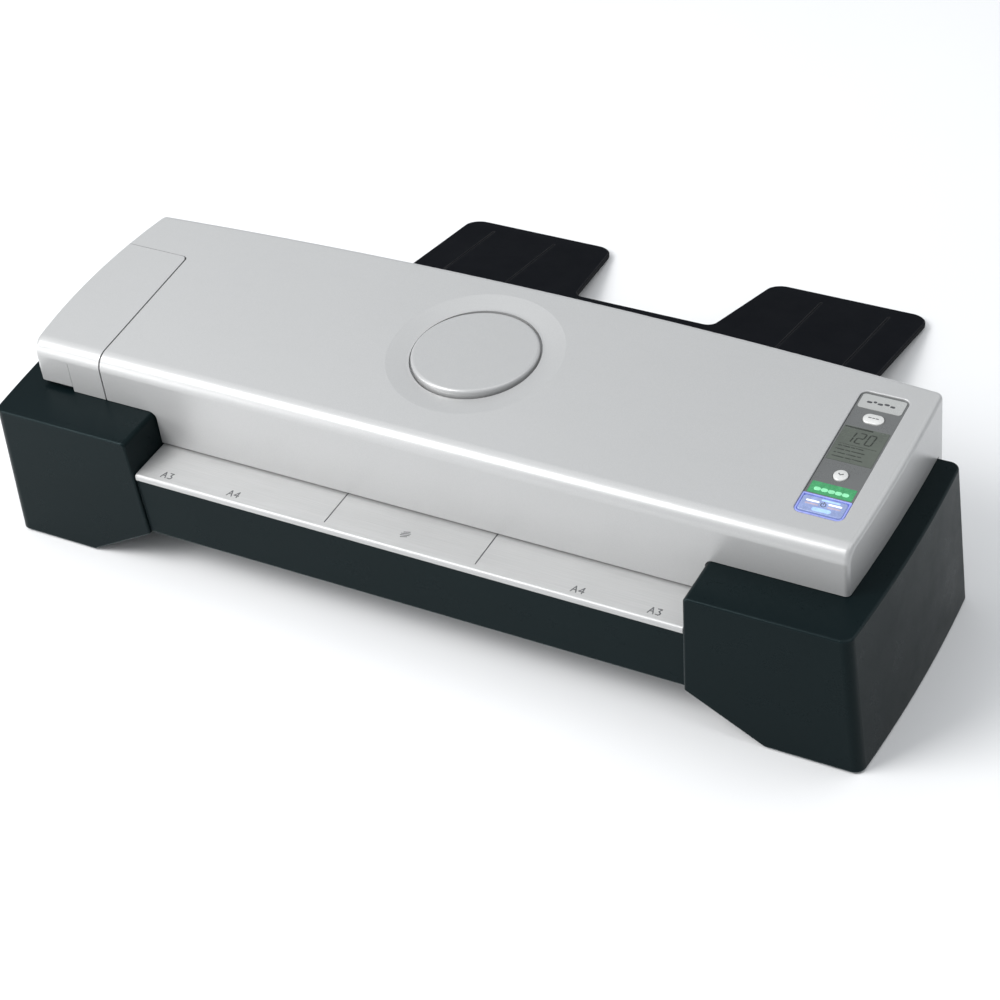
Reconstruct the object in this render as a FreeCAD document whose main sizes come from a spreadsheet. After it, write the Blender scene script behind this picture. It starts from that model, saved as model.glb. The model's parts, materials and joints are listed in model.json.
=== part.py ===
import FreeCAD, Part
import math
import os
import re
import Sketcher

# Pouch laminator for pouches up to 303 mm wide.
# Frame: X along the machine, Y from the feeding side to the delivery side, Z up. The origin is on the table,
# under the centre of the machine and its delivery tray. All lengths are millimetres, all angles degrees.

V = FreeCAD.Vector
doc = FreeCAD.newDocument("pouch_laminator")

# ---------------------------------------------------------------- driving dimensions

DRIVING = [
    ("front", -184.0),         # front face of the foot housings
    ("foot_gap", 1.5),         # rubber feet below the foot housings
    ("wall", 2.5),             # moulded walls
    ("sheet_gauge", 2.0),      # pressed steel
    ("seam", 0.3),             # gap between neighbouring mouldings
    ("running_gap", 0.05),     # radial clearance of a turning or sliding fit
    ("housing_front_half", 256.4),  # centre plane to a foot housing's outer corners, at its top
    ("housing_rear_half", 259.0),
    ("housing_bow", 2.8),      # how far its outer face bows out
    ("housing_flare", 4.8),    # how much further out it stands at the bottom
    ("housing_corner", 6.0),
    ("housing_depth", 146.0),
    ("housing_top", 90.0),
    ("throat_top_half", 168.1),  # centre plane to a housing's inner wall, at its top
    ("throat_low_half", 165.1),  # and just above its chamfer
    ("chamfer_top", 26.2),
    ("chamfer_foot_half", 208.6),
    ("belly", 27.0),           # underside between the foot housings
    ("cover_front", 30.0),     # front housing face to front cover face
    ("cover_half", 244.0),     # centre plane to the cover's front corners
    ("cover_rear_right", 246.0),
    ("cover_rear_left", 235.5),
    ("cover_right_bow", 1.6),
    ("cover_left_bow", 6.0),
    ("cover_corner", 154.9),   # front housing face to the cover's rear corners
    ("cover_rear_bow", 8.8),
    ("cover_height", 118.8),   # top plane above the table, where it meets the front plane
    ("cover_slope", 3.58),     # rise of the top towards the rear
    ("cover_bend", 9.0),       # radius of the front bend
    ("cover_edge", 2.8),
    ("cover_rear_corner", 4.0),
    ("rear_skirt", 80.0),
    ("shelf_top", 68.0),
    ("shelf_gauge", 1.8),
    ("shelf_front", 1.3),
    ("shelf_rear", 46.5),
    ("shelf_half", 166.3),
    ("slot_height", 1.3),
    ("guide_line_half", 46.0),
    ("endcap_x", 199.3),
    ("endcap_depth", 124.8),
    ("badge_y", 103.8),
    ("badge_radius", 35.2),
    ("dish_radius", 49.5),
    ("dish_depth", 1.2),
    ("badge_rise", 3.4),
    ("panel_x", 219.6),        # centre line of the control panel
    ("panel_width", 26.6),
    ("panel_start", 19.4),     # along the top, from the cover's front plane
    ("panel_length", 93.8),
    ("nip", 68.7),             # height of the pouch path
    ("gear_pitch", 26.0),      # centre distance of a roller pair
    ("roller_radius", 12.8),
    ("roller_half", 160.0),
    ("front_pair", 62.0),
    ("rear_pair", 118.0),
    ("frame_half", 174.0),     # centre plane to the inner face of a side frame
    ("journal_radius", 4.0),
    ("bush_radius", 6.0),
    ("gear_start", 178.5),
    ("gear_width", 8.0),
    ("tray_slope", 12.0),
    ("tray_half", 158.8),
    ("tray_gauge", 3.0),
    ("hinge_y", 168.0),
    ("hinge_z", 44.0),
    ("tray_length", 204.3),    # hinge axis to the tray's rear edge, along the tray
]


class Size(float):
    """A length that also carries the spreadsheet expression it comes from."""

    def __new__(cls, value, text):
        size = float.__new__(cls, value)
        size.text = text
        return size

    def __add__(self, other):
        return Size(float(self) + float(other), f"({self.text} + {text_of(other)})")

    def __radd__(self, other):
        return Size(float(other) + float(self), f"({text_of(other)} + {self.text})")

    def __sub__(self, other):
        return Size(float(self) - float(other), f"({self.text} - {text_of(other)})")

    def __rsub__(self, other):
        return Size(float(other) - float(self), f"({text_of(other)} - {self.text})")

    def __mul__(self, other):
        return Size(float(self) * float(other), f"({self.text} * {text_of(other)})")

    def __rmul__(self, other):
        return Size(float(other) * float(self), f"({text_of(other)} * {self.text})")

    def __truediv__(self, other):
        return Size(float(self) / float(other), f"({self.text} / {text_of(other)})")

    def __neg__(self):
        return Size(-float(self), f"(0 - {self.text})")


def text_of(value):
    return value.text if isinstance(value, Size) else f"({float(value):.6g})"


def sine(angle):
    return Size(math.sin(math.radians(angle)), f"sin({text_of(angle)} * 1 deg)")


def cosine(angle):
    return Size(math.cos(math.radians(angle)), f"cos({text_of(angle)} * 1 deg)")


def tangent(angle):
    return Size(math.tan(math.radians(angle)), f"tan({text_of(angle)} * 1 deg)")


def distance(run, rise):
    """Length of the straight line over a run and a rise."""
    return Size(math.hypot(run, rise), f"sqrt({text_of(run)}^2 + {text_of(rise)}^2)")


class Dimensions:
    """The spreadsheet's cells, read as attributes."""


sheet = doc.addObject("Spreadsheet::Sheet", "Dims")
D = Dimensions()
for row, (alias, value) in enumerate(DRIVING, start=1):
    sheet.set(f"A{row}", alias)
    sheet.set(f"B{row}", str(value))
    sheet.setAlias(f"B{row}", alias)
    setattr(D, alias, Size(value, f"Dims.{alias}"))
doc.recompute()


# ---------------------------------------------------------------- building helpers

def bind(item, path, value):
    if isinstance(value, Size):
        item.setExpression(path, value.text)
    elif "." in path:
        item.setExpression(path, f"{float(value):.6g}")
    else:
        setattr(item, path, float(value))


def place(item, x, y, z, axis=None, angle=0.0):
    """Puts an item at a bound point, turned about an axis through that point."""
    if axis is not None:
        item.Placement = FreeCAD.Placement(V(0, 0, 0), FreeCAD.Rotation(axis, float(angle)))
    for letter, value in (("x", x), ("y", y), ("z", z)):
        bind(item, f"Placement.Base.{letter}", value)
    return item


def box(name, x, y, z):
    """A box between two planes along each axis."""
    item = doc.addObject("Part::Box", name)
    for prop, (low, high) in (("Length", x), ("Width", y), ("Height", z)):
        bind(item, prop, high - low)
    return place(item, x[0], y[0], z[0])


AXES = {"x": (V(0, 1, 0), 90), "y": (V(1, 0, 0), -90), "z": (V(0, 0, 1), 0)}


def rod(name, direction, start, radius, length):
    """A cylinder that runs from a point along +X, +Y or +Z."""
    item = doc.addObject("Part::Cylinder", name)
    bind(item, "Radius", radius)
    bind(item, "Height", length)
    axis, angle = AXES[direction]
    return place(item, *start, axis, angle)


def fuse(name, *parts):
    item = doc.addObject("Part::MultiFuse", name)
    item.Shapes = list(parts)
    return item


def group(name, *parts):
    item = doc.addObject("Part::Compound", name)
    item.Links = list(parts)
    return item


def cut(name, base, *tools):
    item = doc.addObject("Part::Cut", name)
    item.Base = base
    item.Tool = tools[0] if len(tools) == 1 else group(f"{name}_tools", *tools)
    return item


def common(name, base, tool):
    item = doc.addObject("Part::Common", name)
    item.Base = base
    item.Tool = tool
    return item


def mirrored(name, source):
    item = doc.addObject("Part::Mirroring", name)
    item.Source = source
    item.Normal = V(1, 0, 0)
    return item


def rounded(name, base, radius, wanted):
    """Rounds the edges of a solid for which wanted(edge) holds."""
    doc.recompute()
    edges = [n for n, edge in enumerate(base.Shape.Edges, start=1) if wanted(edge)]
    item = doc.addObject("Part::Fillet", name)
    item.Base = base
    item.Edges = [(n, float(radius), float(radius)) for n in edges]
    return item


def is_vertical(edge):
    ends = [v.Point for v in edge.Vertexes]
    return len(ends) == 2 and math.hypot(ends[0].x - ends[1].x, ends[0].y - ends[1].y) < 0.01


def arc_through(start, end, sag):
    """The arc that leaves its chord by sag, to the right of the way from start to end."""
    chord = end - start
    side = V(chord.y, -chord.x, 0).normalize()
    return Part.Arc(start, (start + end) * 0.5 + side * float(sag), end)


def arc_radius(chord, sag):
    return (chord * chord / 4 + sag * sag) / (sag * 2)


PLANES = {
    "xy": FreeCAD.Rotation(),
    "yz": FreeCAD.Rotation(V(1, 1, 1), 120),
    "xz": FreeCAD.Rotation(V(1, 0, 0), 90),
}


def outline(sketch, corners, arcs=None):
    """Closes a loop through bound corners. arcs maps a side's number to (sag, bound radius)."""
    arcs = arcs or {}
    points = [V(float(a), float(b), 0) for a, b in corners]
    rules = []
    ends = []
    for n, start in enumerate(points):
        end = points[(n + 1) % len(points)]
        if n in arcs:
            sag, radius = arcs[n]
            curve = arc_through(start, end, sag)
            index = sketch.addGeometry(curve, False)
            drawn = sketch.Geometry[index]
            forward = drawn.StartPoint.distanceToPoint(start) < drawn.StartPoint.distanceToPoint(end)
            ends.append((index, 1, 2) if forward else (index, 2, 1))
            rules.append((Sketcher.Constraint("Radius", index, drawn.Radius), radius))
        else:
            index = sketch.addGeometry(Part.LineSegment(start, end), False)
            ends.append((index, 1, 2))
    for n, (index, first, last) in enumerate(ends):
        following = ends[(n + 1) % len(ends)]
        sketch.addConstraint(Sketcher.Constraint("Coincident", index, last, following[0], following[1]))
    for n, (index, first, last) in enumerate(ends):
        for kind, value in zip(("DistanceX", "DistanceY"), corners[n]):
            rules.append((Sketcher.Constraint(kind, -1, 1, index, first, float(value)), value))
    for rule, value in rules:
        number = sketch.addConstraint(rule)
        if isinstance(value, Size):
            sketch.setExpression(f"Constraints[{number}]", value.text)


def free_sketch(name, plane, offset, corners, arcs=None):
    sketch = doc.addObject("Sketcher::SketchObject", name)
    sketch.Placement = FreeCAD.Placement(V(0, 0, 0), PLANES[plane])
    bind(sketch, "Placement.Base." + {"xy": "z", "yz": "x", "xz": "y"}[plane], offset)
    outline(sketch, corners, arcs)
    return sketch


def extruded(name, sketch, direction, length):
    item = doc.addObject("Part::Extrusion", name)
    item.Base = sketch
    item.DirMode = "Custom"
    item.Dir = direction
    item.Solid = True
    bind(item, "LengthFwd", length)
    return item


def origin_plane(body, role):
    return next(f for f in body.Origin.OriginFeatures if f.Role == role)


def body_sketch(body, name, role, offset, corners=None, arcs=None):
    sketch = body.newObject("Sketcher::SketchObject", name)
    sketch.AttachmentSupport = [(origin_plane(body, role), "")]
    sketch.MapMode = "FlatFace"
    bind(sketch, "AttachmentOffset.Base.z", offset)
    if corners:
        outline(sketch, corners, arcs)
    return sketch


def add_pad(body, name, sketch, length, midplane=False):
    pad = body.newObject("PartDesign::Pad", name)
    pad.Profile = sketch
    if midplane:
        pad.SideType = "Symmetric"
    bind(pad, "Length", length)
    return pad


def add_pocket(body, name, sketch, length, flip=False):
    before = body.Shape.Volume
    pocket = body.newObject("PartDesign::Pocket", name)
    pocket.Profile = sketch
    pocket.Reversed = flip
    bind(pocket, "Length", length)
    doc.recompute()
    if body.Shape.Volume >= before - 0.01:
        raise RuntimeError(f"{name} cuts nothing")
    return pocket


SUBPARTS = []


def keep(item, name):
    """Marks an item as a finished sub-part under the name of its file."""
    item.Label = name
    SUBPARTS.append(item)
    return item


# ---------------------------------------------------------------- shared places

X_LIMIT = 300.0                      # beyond the whole machine on either side
Z_LIMIT = 160.0                      # above the whole machine
slope = D.cover_slope
housing_rear = D.front + D.housing_depth
cover_face = D.front + D.cover_front
slot_top = D.shelf_top + D.slot_height
lower_axis = D.nip - D.gear_pitch / 2
upper_axis = D.nip + D.gear_pitch / 2
front_roller_y = D.front + D.front_pair
rear_roller_y = D.front + D.rear_pair
idler_y = D.front + (D.front_pair + D.rear_pair) / 2
frame_outer = D.frame_half + D.sheet_gauge


def top_height(y):
    """Height of the cover's top plane at a distance y behind the housings' front face."""
    return D.cover_height + (y - D.cover_front) * tangent(slope)


def on_top(x, along, height):
    """A point of the row frame from a place on the cover's top plane and a height above it."""
    return (
        x,
        cover_face + along * cosine(slope) - height * sine(slope),
        D.cover_height + along * sine(slope) + height * cosine(slope),
    )


def top_box(name, x, along, height):
    """A box whose faces lie along the sloping top."""
    item = doc.addObject("Part::Box", name)
    for prop, (low, high) in (("Length", x), ("Width", along), ("Height", height)):
        bind(item, prop, high - low)
    return place(item, *on_top(x[0], along[0], height[0]), V(1, 0, 0), slope)


def top_rod(name, x, along, height, radius):
    """A cylinder square to the sloping top."""
    item = doc.addObject("Part::Cylinder", name)
    bind(item, "Radius", radius)
    bind(item, "Height", height[1] - height[0])
    return place(item, *on_top(x, along, height[0]), V(1, 0, 0), slope)


# ---------------------------------------------------------------- top cover, end cap and badge

def cover_block(name, inset, bottom):
    """The cover's outline in plan, moved in by inset, as a block from bottom to above the top."""
    half = D.cover_half - inset
    right = D.cover_rear_right - inset
    left = D.cover_rear_left - inset
    rear = D.front + D.cover_corner - inset
    front = cover_face + inset
    corners = [(-half, front), (half, front), (right, rear), (-left, rear)]
    arcs = {
        1: (D.cover_right_bow, arc_radius(distance(right - half, rear - front), D.cover_right_bow)),
        2: (D.cover_rear_bow, arc_radius(right + left, D.cover_rear_bow)),
        3: (D.cover_left_bow, arc_radius(distance(half - left, rear - front), D.cover_left_bow)),
    }
    plan = free_sketch(f"{name}_plan", "xy", bottom, corners, arcs)
    return extruded(name, plan, V(0, 0, 1), Z_LIMIT - bottom)


def cover_profile(name, inset):
    """The side view of the cover, moved in by inset, as a bar along X."""
    front = cover_face + inset
    top = D.cover_height - inset / cosine(slope) + inset * tangent(slope)
    back = D.front + D.cover_corner + D.cover_rear_bow * 2
    bend = D.cover_bend - inset
    reach = bend * tangent((90 - slope) / 2)
    chord = reach * 2 * cosine((90 - slope) / 2)
    sag = bend * (1 - cosine((90 - slope) / 2))
    corners = [
        (front, 0),
        (back, 0),
        (back, top + (back - front) * tangent(slope)),
        (front + reach * cosine(slope), top + reach * sine(slope)),
        (front, top - reach),
    ]
    side = free_sketch(f"{name}_side", "yz", -X_LIMIT, corners, {3: (sag, arc_radius(chord, sag))})
    return extruded(name, side, V(1, 0, 0), X_LIMIT * 2)


HOUSING_ROOM_CORNER = 4.5


def rims(prefix):
    """What the cover leaves free: the tops of the housings and the space under its rear skirt."""
    side = D.throat_low_half + 1.6
    over = D.housing_top + D.seam

    def over_inner_rim(edge):
        low, high = edge.BoundBox.ZMin, edge.BoundBox.XLength
        return low > over - 0.1 and high < 0.1 and edge.BoundBox.XMin < side + 0.1

    room = box(f"{prefix}_room", (side, X_LIMIT), (D.front, housing_rear + 0.6), (0.0, over))
    right = rounded(f"{prefix}_right", room, HOUSING_ROOM_CORNER, over_inner_rim)
    left = mirrored(f"{prefix}_left", right)
    rear = box(f"{prefix}_rear", (-X_LIMIT, X_LIMIT), (idler_y, 0.0), (0.0, D.rear_skirt))
    return right, left, rear


def is_cover_edge(edge):
    """The front corners and every edge of the top that isn't inside the front bend."""
    mid = edge.valueAt((edge.FirstParameter + edge.LastParameter) / 2)
    if is_vertical(edge):
        return mid.y < D.front + D.cover_front + 1
    outside = abs(mid.x) > D.cover_rear_left - 5 or mid.y > D.front + D.cover_corner - 6
    return outside and mid.z > D.housing_top + 10


outer = common("cover_outer_sharp", cover_block("cover_outer_block", 0, slot_top),
               cover_profile("cover_outer_profile", 0))
outer = rounded("cover_outer_corners", outer, D.cover_rear_corner,
                lambda e: is_vertical(e) and e.Vertexes[0].Y > D.front + D.cover_corner - 2)
outer = rounded("cover_outer", outer, D.cover_edge, is_cover_edge)
hollow = common("cover_hollow", cover_block("cover_hollow_block", D.wall, 0),
                cover_profile("cover_hollow_profile", D.wall))
shell = cut("cover_shell", outer, hollow, *rims("cover_rim"))

badge_along = (D.badge_y - D.cover_front) / cosine(slope)
dish = doc.addObject("Part::Cone", "dish")
bind(dish, "Radius1", D.badge_radius + 2.5)
bind(dish, "Radius2", D.dish_radius + 1.9)
bind(dish, "Height", D.dish_depth * 1.2)
place(dish, *on_top(0.0, badge_along, -D.dish_depth), V(1, 0, 0), slope)
BADGE_SEAT = -D.dish_depth - 2.4
seat = top_rod("badge_seat", 0.0, badge_along, (BADGE_SEAT, 2.0), D.badge_radius + 1.2)
seat_floor = top_rod("badge_seat_floor", 0.0, badge_along, (BADGE_SEAT - 2.0, -D.dish_depth),
                     D.badge_radius + 4)

OPENING_CORNER = 4.0
OPENING_RIM = 0.7
panel_low = D.panel_x - D.panel_width / 2
panel_high = D.panel_x + D.panel_width / 2
panel_end = D.panel_start + D.panel_length


def top_plate(name, x, along, height, corner):
    """A plate with round corners, lying along the sloping top."""
    plate = top_box(f"{name}_sharp", x, along, height)
    doc.recompute()
    normal = plate.Placement.Rotation.multVec(V(0, 0, 1))

    def upright(edge):
        ends = [v.Point for v in edge.Vertexes]
        return abs((ends[1] - ends[0]).normalize().dot(normal)) > 0.999

    return rounded(name, plate, corner, upright)


def cap_block(name, side_gap, rear_gap):
    """The space of the end cap, less a gap on two sides, with a round inner corner."""
    block = box(f"{name}_sharp", (-X_LIMIT, -D.endcap_x - side_gap),
                (D.front, D.front + D.endcap_depth - rear_gap), (0.0, Z_LIMIT))

    def inner_corner(edge):
        corner = edge.Vertexes[0]
        return is_vertical(edge) and corner.X > -D.endcap_x - 2 and corner.Y > cover_face

    return rounded(name, block, ENDCAP_CORNER, inner_corner)


def is_panel_rim(edge):
    """An edge where the panel's opening meets the top plane."""
    mid = edge.valueAt((edge.FirstParameter + edge.LastParameter) / 2)
    beside = abs(mid.x - D.panel_x) < D.panel_width / 2 + 0.1
    return beside and near(mid.z, top_height(mid.y - D.front), 0.05)


def near(value, target, reach):
    return abs(value - target) < reach


ENDCAP_CORNER = 3.0
panel_hole = top_plate("panel_hole", (panel_low, panel_high), (D.panel_start, panel_end), (-8.0, 4.0),
                       OPENING_CORNER)
cover = cut("cover_with_openings", fuse("cover_with_seat", shell, seat_floor), dish, seat, panel_hole,
            cap_block("endcap_region", 0.0, 0.0))
keep(rounded("cover_finished", cover, OPENING_RIM, is_panel_rim), "top_cover")

# The end cap stands off the cover by a fine groove, and its outer part clears the housing by a step.
STEP_X = 222.0
STEP_RISE = 3.4
cap_space = cap_block("endcap_space", 1.0, 0.35)
cap_step = box("endcap_step", (-X_LIMIT, -STEP_X), (D.front, D.front + D.endcap_depth),
               (0.0, D.housing_top + STEP_RISE))
cap_line = box("endcap_line", (-STEP_X - 0.3, -STEP_X), (D.front, cover_face + 0.2),
               (D.housing_top, D.cover_height - D.cover_bend))
keep(cut("endcap_stepped", common("endcap_plain", shell, cap_space), cap_step, cap_line), "left_end_cap")

# The round cap leans forward in the dish: proud at its front edge, nearly flush at its rear edge.
BADGE_LEAN = 3.6
BADGE_EDGE = 1.7
CROWN_HEIGHT = 12
lean = slope - BADGE_LEAN
front_edge = on_top(0.0, badge_along - D.badge_radius, D.badge_rise)
crown = doc.addObject("Part::Cylinder", "badge_crown")
bind(crown, "Radius", D.badge_radius + 4)
bind(crown, "Height", CROWN_HEIGHT)
place(crown, front_edge[0], front_edge[1] + D.badge_radius * cosine(lean) + CROWN_HEIGHT * sine(lean),
      front_edge[2] + D.badge_radius * sine(lean) - CROWN_HEIGHT * cosine(lean), V(1, 0, 0), lean)
plug = top_rod("badge_plug", 0.0, badge_along, (BADGE_SEAT + 0.05, D.badge_rise + 1), D.badge_radius)


def is_badge_rim(edge):
    return edge.BoundBox.XLength > D.badge_radius and edge.BoundBox.ZMax > top_height(D.badge_y) + 1


keep(rounded("badge_round", common("badge_disc", plug, crown), BADGE_EDGE, is_badge_rim), "badge_cap")


# ---------------------------------------------------------------- foot housings

def housing_plan(name, height, inset, flare):
    """The plan of a right foot housing at one height, moved in by inset and out by flare."""
    front = D.front + inset
    rear = housing_rear - inset
    inner = D.throat_low_half - 6
    front_half = D.housing_front_half + flare - inset
    rear_half = D.housing_rear_half + flare - inset
    bow = arc_radius(distance(rear_half - front_half, rear - front), D.housing_bow)
    corners = [(inner, front), (front_half, front), (rear_half, rear), (inner, rear)]
    return free_sketch(name, "xy", height, corners, {1: (D.housing_bow, bow)})


def housing_block(name, inset, bottom):
    """A right foot housing, moved in by inset: a flared column and its front view as a bar."""
    column = doc.addObject("Part::Loft", f"{name}_column")
    column.Sections = [housing_plan(f"{name}_low_plan", 0.0, inset, D.housing_flare),
                       housing_plan(f"{name}_high_plan", D.housing_top, inset, 0.0)]
    column.Ruled = True
    column.Solid = True
    run = D.chamfer_foot_half - D.throat_low_half
    fall = D.chamfer_top - D.foot_gap
    lift = inset * 1.15
    lean = (D.throat_top_half - D.throat_low_half) / (D.housing_top - D.chamfer_top)
    view = [
        (D.throat_low_half + inset, D.chamfer_top + lift - inset * fall / run),
        (D.chamfer_foot_half + (lift - inset) * run / fall, bottom),
        (X_LIMIT, bottom),
        (X_LIMIT, D.housing_top),
        (D.throat_low_half + inset + lean * (D.housing_top - D.chamfer_top), D.housing_top),
    ]
    front_view = free_sketch(f"{name}_view", "xz", housing_rear + 1, view)
    bar = extruded(f"{name}_bar", front_view, V(0, -1, 0), D.housing_depth + 2)
    return common(name, column, bar)


INNER_RIM = 2.6
RIM = 1.2


def housing_corner(edge):
    return edge.BoundBox.ZLength > 20 and edge.BoundBox.XMin > D.housing_front_half - 2


def inner_rim(edge):
    return edge.BoundBox.ZMin > D.housing_top - 0.1 and edge.BoundBox.XMax < D.throat_top_half + 2


def outer_rim(edge):
    return edge.BoundBox.ZMin > D.housing_top - 0.1 and edge.BoundBox.XMax > D.throat_top_half + INNER_RIM + 1


solid = housing_block("housing_solid", 0.0, D.foot_gap)
solid = rounded("housing_solid_corners", solid, D.housing_corner, housing_corner)
solid = rounded("housing_solid_inner", solid, INNER_RIM, inner_rim)
solid = rounded("housing_solid_round", solid, RIM, outer_rim)
inside = housing_block("housing_inside", D.wall, D.foot_gap + D.wall)
inside_low = box("housing_inside_low", (0.0, X_LIMIT), (D.front, housing_rear), (0.0, D.housing_top - D.wall))
inside = common("housing_inside_room", inside, inside_low)
under_cover = box("housing_top_window", (D.throat_low_half, D.cover_rear_left - D.wall - 1),
                  (cover_face + D.wall + 0.5, housing_rear - D.wall), (D.belly + 2, Z_LIMIT))
inner_window = box("housing_inner_window", (D.throat_low_half - 10, D.frame_half + 4),
                   (cover_face + D.wall + 1.5, housing_rear - D.wall), (D.belly + 2, Z_LIMIT))
right_housing = cut("right_housing_shell", solid, inside, under_cover, inner_window)
keep(right_housing, "right_foot_housing")

INLET_X = -205.0
INLET_Z = 45.0
inlet_hole = box("inlet_hole_housing", (INLET_X - 14, INLET_X + 14), (housing_rear - 6, housing_rear + 6),
                 (INLET_Z - 10.5, INLET_Z + 10.5))
left_housing = cut("left_housing_shell", mirrored("left_housing_plain", right_housing), inlet_hole)
keep(left_housing, "left_foot_housing")

FOOT_PLACES = [(side * 236.0, depth) for side in (-1, 1) for depth in (20.0, 126.0)]
feet = [rod(f"rubber_foot_{n}", "z", (x, D.front + y, 0), 9.0, D.foot_gap - 0.02)
        for n, (x, y) in enumerate(FOOT_PLACES)]
keep(group("rubber_feet_group", *feet), "rubber_feet")
screws = []
for n, (x, y) in enumerate(FOOT_PLACES):
    inward = x - math.copysign(16, x)
    screws.append(rod(f"base_screw_head_{n}", "z", (inward, D.front + y, D.foot_gap - 1.0), 3.2, 0.98))
keep(group("base_screws_group", *screws), "base_screws")


# ---------------------------------------------------------------- fascia, shelf, base and rear panel

def bar_between_housings(name, low, high, y, gap):
    """A bar that fills the throat between the leaning inner walls, less a gap at each end."""
    lean = (D.throat_top_half - D.throat_low_half) / (D.housing_top - D.chamfer_top)
    narrow = D.throat_low_half + lean * (low - D.chamfer_top) - gap
    wide = D.throat_low_half + lean * (high - D.chamfer_top) - gap
    corners = [(-narrow, low), (narrow, low), (wide, high), (-wide, high)]
    body = doc.addObject("PartDesign::Body", name)
    sketch = body_sketch(body, f"{name}_view", "XZ_Plane", -(D.front + y[1]), corners)
    add_pad(body, f"{name}_pad", sketch, y[1] - y[0])
    doc.recompute()
    return body


FASCIA_FRONT = 2.0
LIP_DROP = 3.6                       # how far the shelf's front edge hangs in front of the fascia
fascia_top = D.shelf_top - LIP_DROP - D.seam
fascia_plate = bar_between_housings("fascia_plate", D.belly, fascia_top,
                                    (FASCIA_FRONT, FASCIA_FRONT + D.wall), D.seam)
fascia_lip = box("fascia_lip", (-D.throat_low_half + 2, D.throat_low_half - 2),
                 (D.front + FASCIA_FRONT + 1, D.front + 34), (D.belly, D.belly + 2))
keep(fuse("fascia_solid", fascia_plate, fascia_lip), "front_fascia")

# The shelf's front edge is rolled over and down. Two fine lines guide narrow pouches.
shelf = doc.addObject("PartDesign::Body", "shelf")
LIP_BEND = 1.7
lip_back = D.front + D.shelf_front + D.shelf_gauge
shelf_side = [
    (D.front + D.shelf_front, D.shelf_top - LIP_DROP),
    (lip_back, D.shelf_top - LIP_DROP),
    (lip_back, D.shelf_top - D.shelf_gauge),
    (D.front + D.shelf_rear, D.shelf_top - D.shelf_gauge),
    (D.front + D.shelf_rear, D.shelf_top),
    (D.front + D.shelf_front + LIP_BEND, D.shelf_top),
    (D.front + D.shelf_front, D.shelf_top - LIP_BEND),
]
bend_sag = LIP_BEND * (1 - math.cos(math.radians(45)))
add_pad(shelf, "shelf_pad", body_sketch(shelf, "shelf_side", "YZ_Plane", 0, shelf_side,
                                        {5: (bend_sag, LIP_BEND)}), D.shelf_half * 2, midplane=True)
doc.recompute()
for side in (-1, 1):
    line = D.guide_line_half * side
    tag = "right" if side > 0 else "left"
    groove = [(line - 0.35, D.front + 5.5), (line + 0.35, D.front + 5.5),
              (line + 0.35, D.front + D.cover_front + 4), (line - 0.35, D.front + D.cover_front + 4)]
    sketch = body_sketch(shelf, f"guide_line_{tag}", "XY_Plane", D.shelf_top, groove)
    add_pocket(shelf, f"guide_groove_{tag}", sketch, 0.4)
keep(shelf, "feed_shelf")

PAN_LOW = D.belly + 2.2
pan_top = PAN_LOW + D.sheet_gauge
PAN_HALF = 190.0
pan = doc.addObject("PartDesign::Body", "pan")
pan_corners = [(-PAN_HALF, D.front + 35.5), (PAN_HALF, D.front + 35.5), (PAN_HALF, housing_rear - 3),
               (-PAN_HALF, housing_rear - 3)]
add_pad(pan, "pan_pad", body_sketch(pan, "pan_plan", "XY_Plane", PAN_LOW, pan_corners), D.sheet_gauge)
tongue = [(-D.throat_low_half + 4, D.front + 6), (D.throat_low_half - 4, D.front + 6),
          (D.throat_low_half - 4, D.front + 36), (-D.throat_low_half + 4, D.front + 36)]
add_pad(pan, "pan_tongue", body_sketch(pan, "pan_tongue_plan", "XY_Plane", PAN_LOW, tongue), D.sheet_gauge)
doc.recompute()
VENT_PITCH = 12.0
VENT_WIDTH = 4.0
vent_start = -VENT_PITCH * 11
vent = [(vent_start, D.front + 76), (vent_start + VENT_WIDTH, D.front + 76),
        (vent_start + VENT_WIDTH, D.front + 104), (vent_start, D.front + 104)]
vent_plan = body_sketch(pan, "vent_plan", "XY_Plane", PAN_LOW, vent)
vent_cut = add_pocket(pan, "vent_slot", vent_plan, D.sheet_gauge + 1, flip=True)
vents = pan.newObject("PartDesign::LinearPattern", "vent_row")
vents.Originals = [vent_cut]
vents.Direction = (origin_plane(pan, "X_Axis"), [""])
vents.Length = VENT_PITCH * 22
vents.Occurrences = 23
pan.Tip = vents
keep(pan, "base_pan")

# The rear panel follows the cover's curved rear, with the delivery slot and the tray's hinge ears.
PANEL_INSET = 0.8
panel_top = D.rear_skirt - D.seam
rear_zone = box("rear_zone", (-X_LIMIT, X_LIMIT), (housing_rear + 0.4, housing_rear + 40),
                (D.belly, panel_top))
rear_outer = common("rear_outer", cover_block("rear_outer_block", PANEL_INSET, 0.0), rear_zone)
rear_inner = cover_block("rear_inner_block", D.wall + PANEL_INSET, D.belly + 2)
SLOT_HALF = 163.0
delivery_low = D.nip - 3.3
delivery_high = D.nip + 5.3
delivery = box("delivery_slot", (-SLOT_HALF, SLOT_HALF), (housing_rear, housing_rear + 40),
               (delivery_low, delivery_high))
inlet_cut = box("inlet_hole_panel", (INLET_X - 14, INLET_X + 14), (housing_rear, housing_rear + 40),
                (INLET_Z - 10.5, INLET_Z + 10.5))
LOUVRE_START = 170.0
LOUVRE_PITCH = 8.0
LOUVRE_WIDTH = 3.5
louvres = []
for n in range(6):
    low = LOUVRE_START + LOUVRE_PITCH * n
    louvres.append(box(f"louvre_{n}", (low, low + LOUVRE_WIDTH), (housing_rear + 3.5, housing_rear + 40),
                       (40.0, 62.0)))
rear_shell = cut("rear_shell", rear_outer, rear_inner, delivery, inlet_cut, *louvres)
HINGE_PLACES = [-118.0, 118.0]
EAR_RADIUS = 4.5
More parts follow.
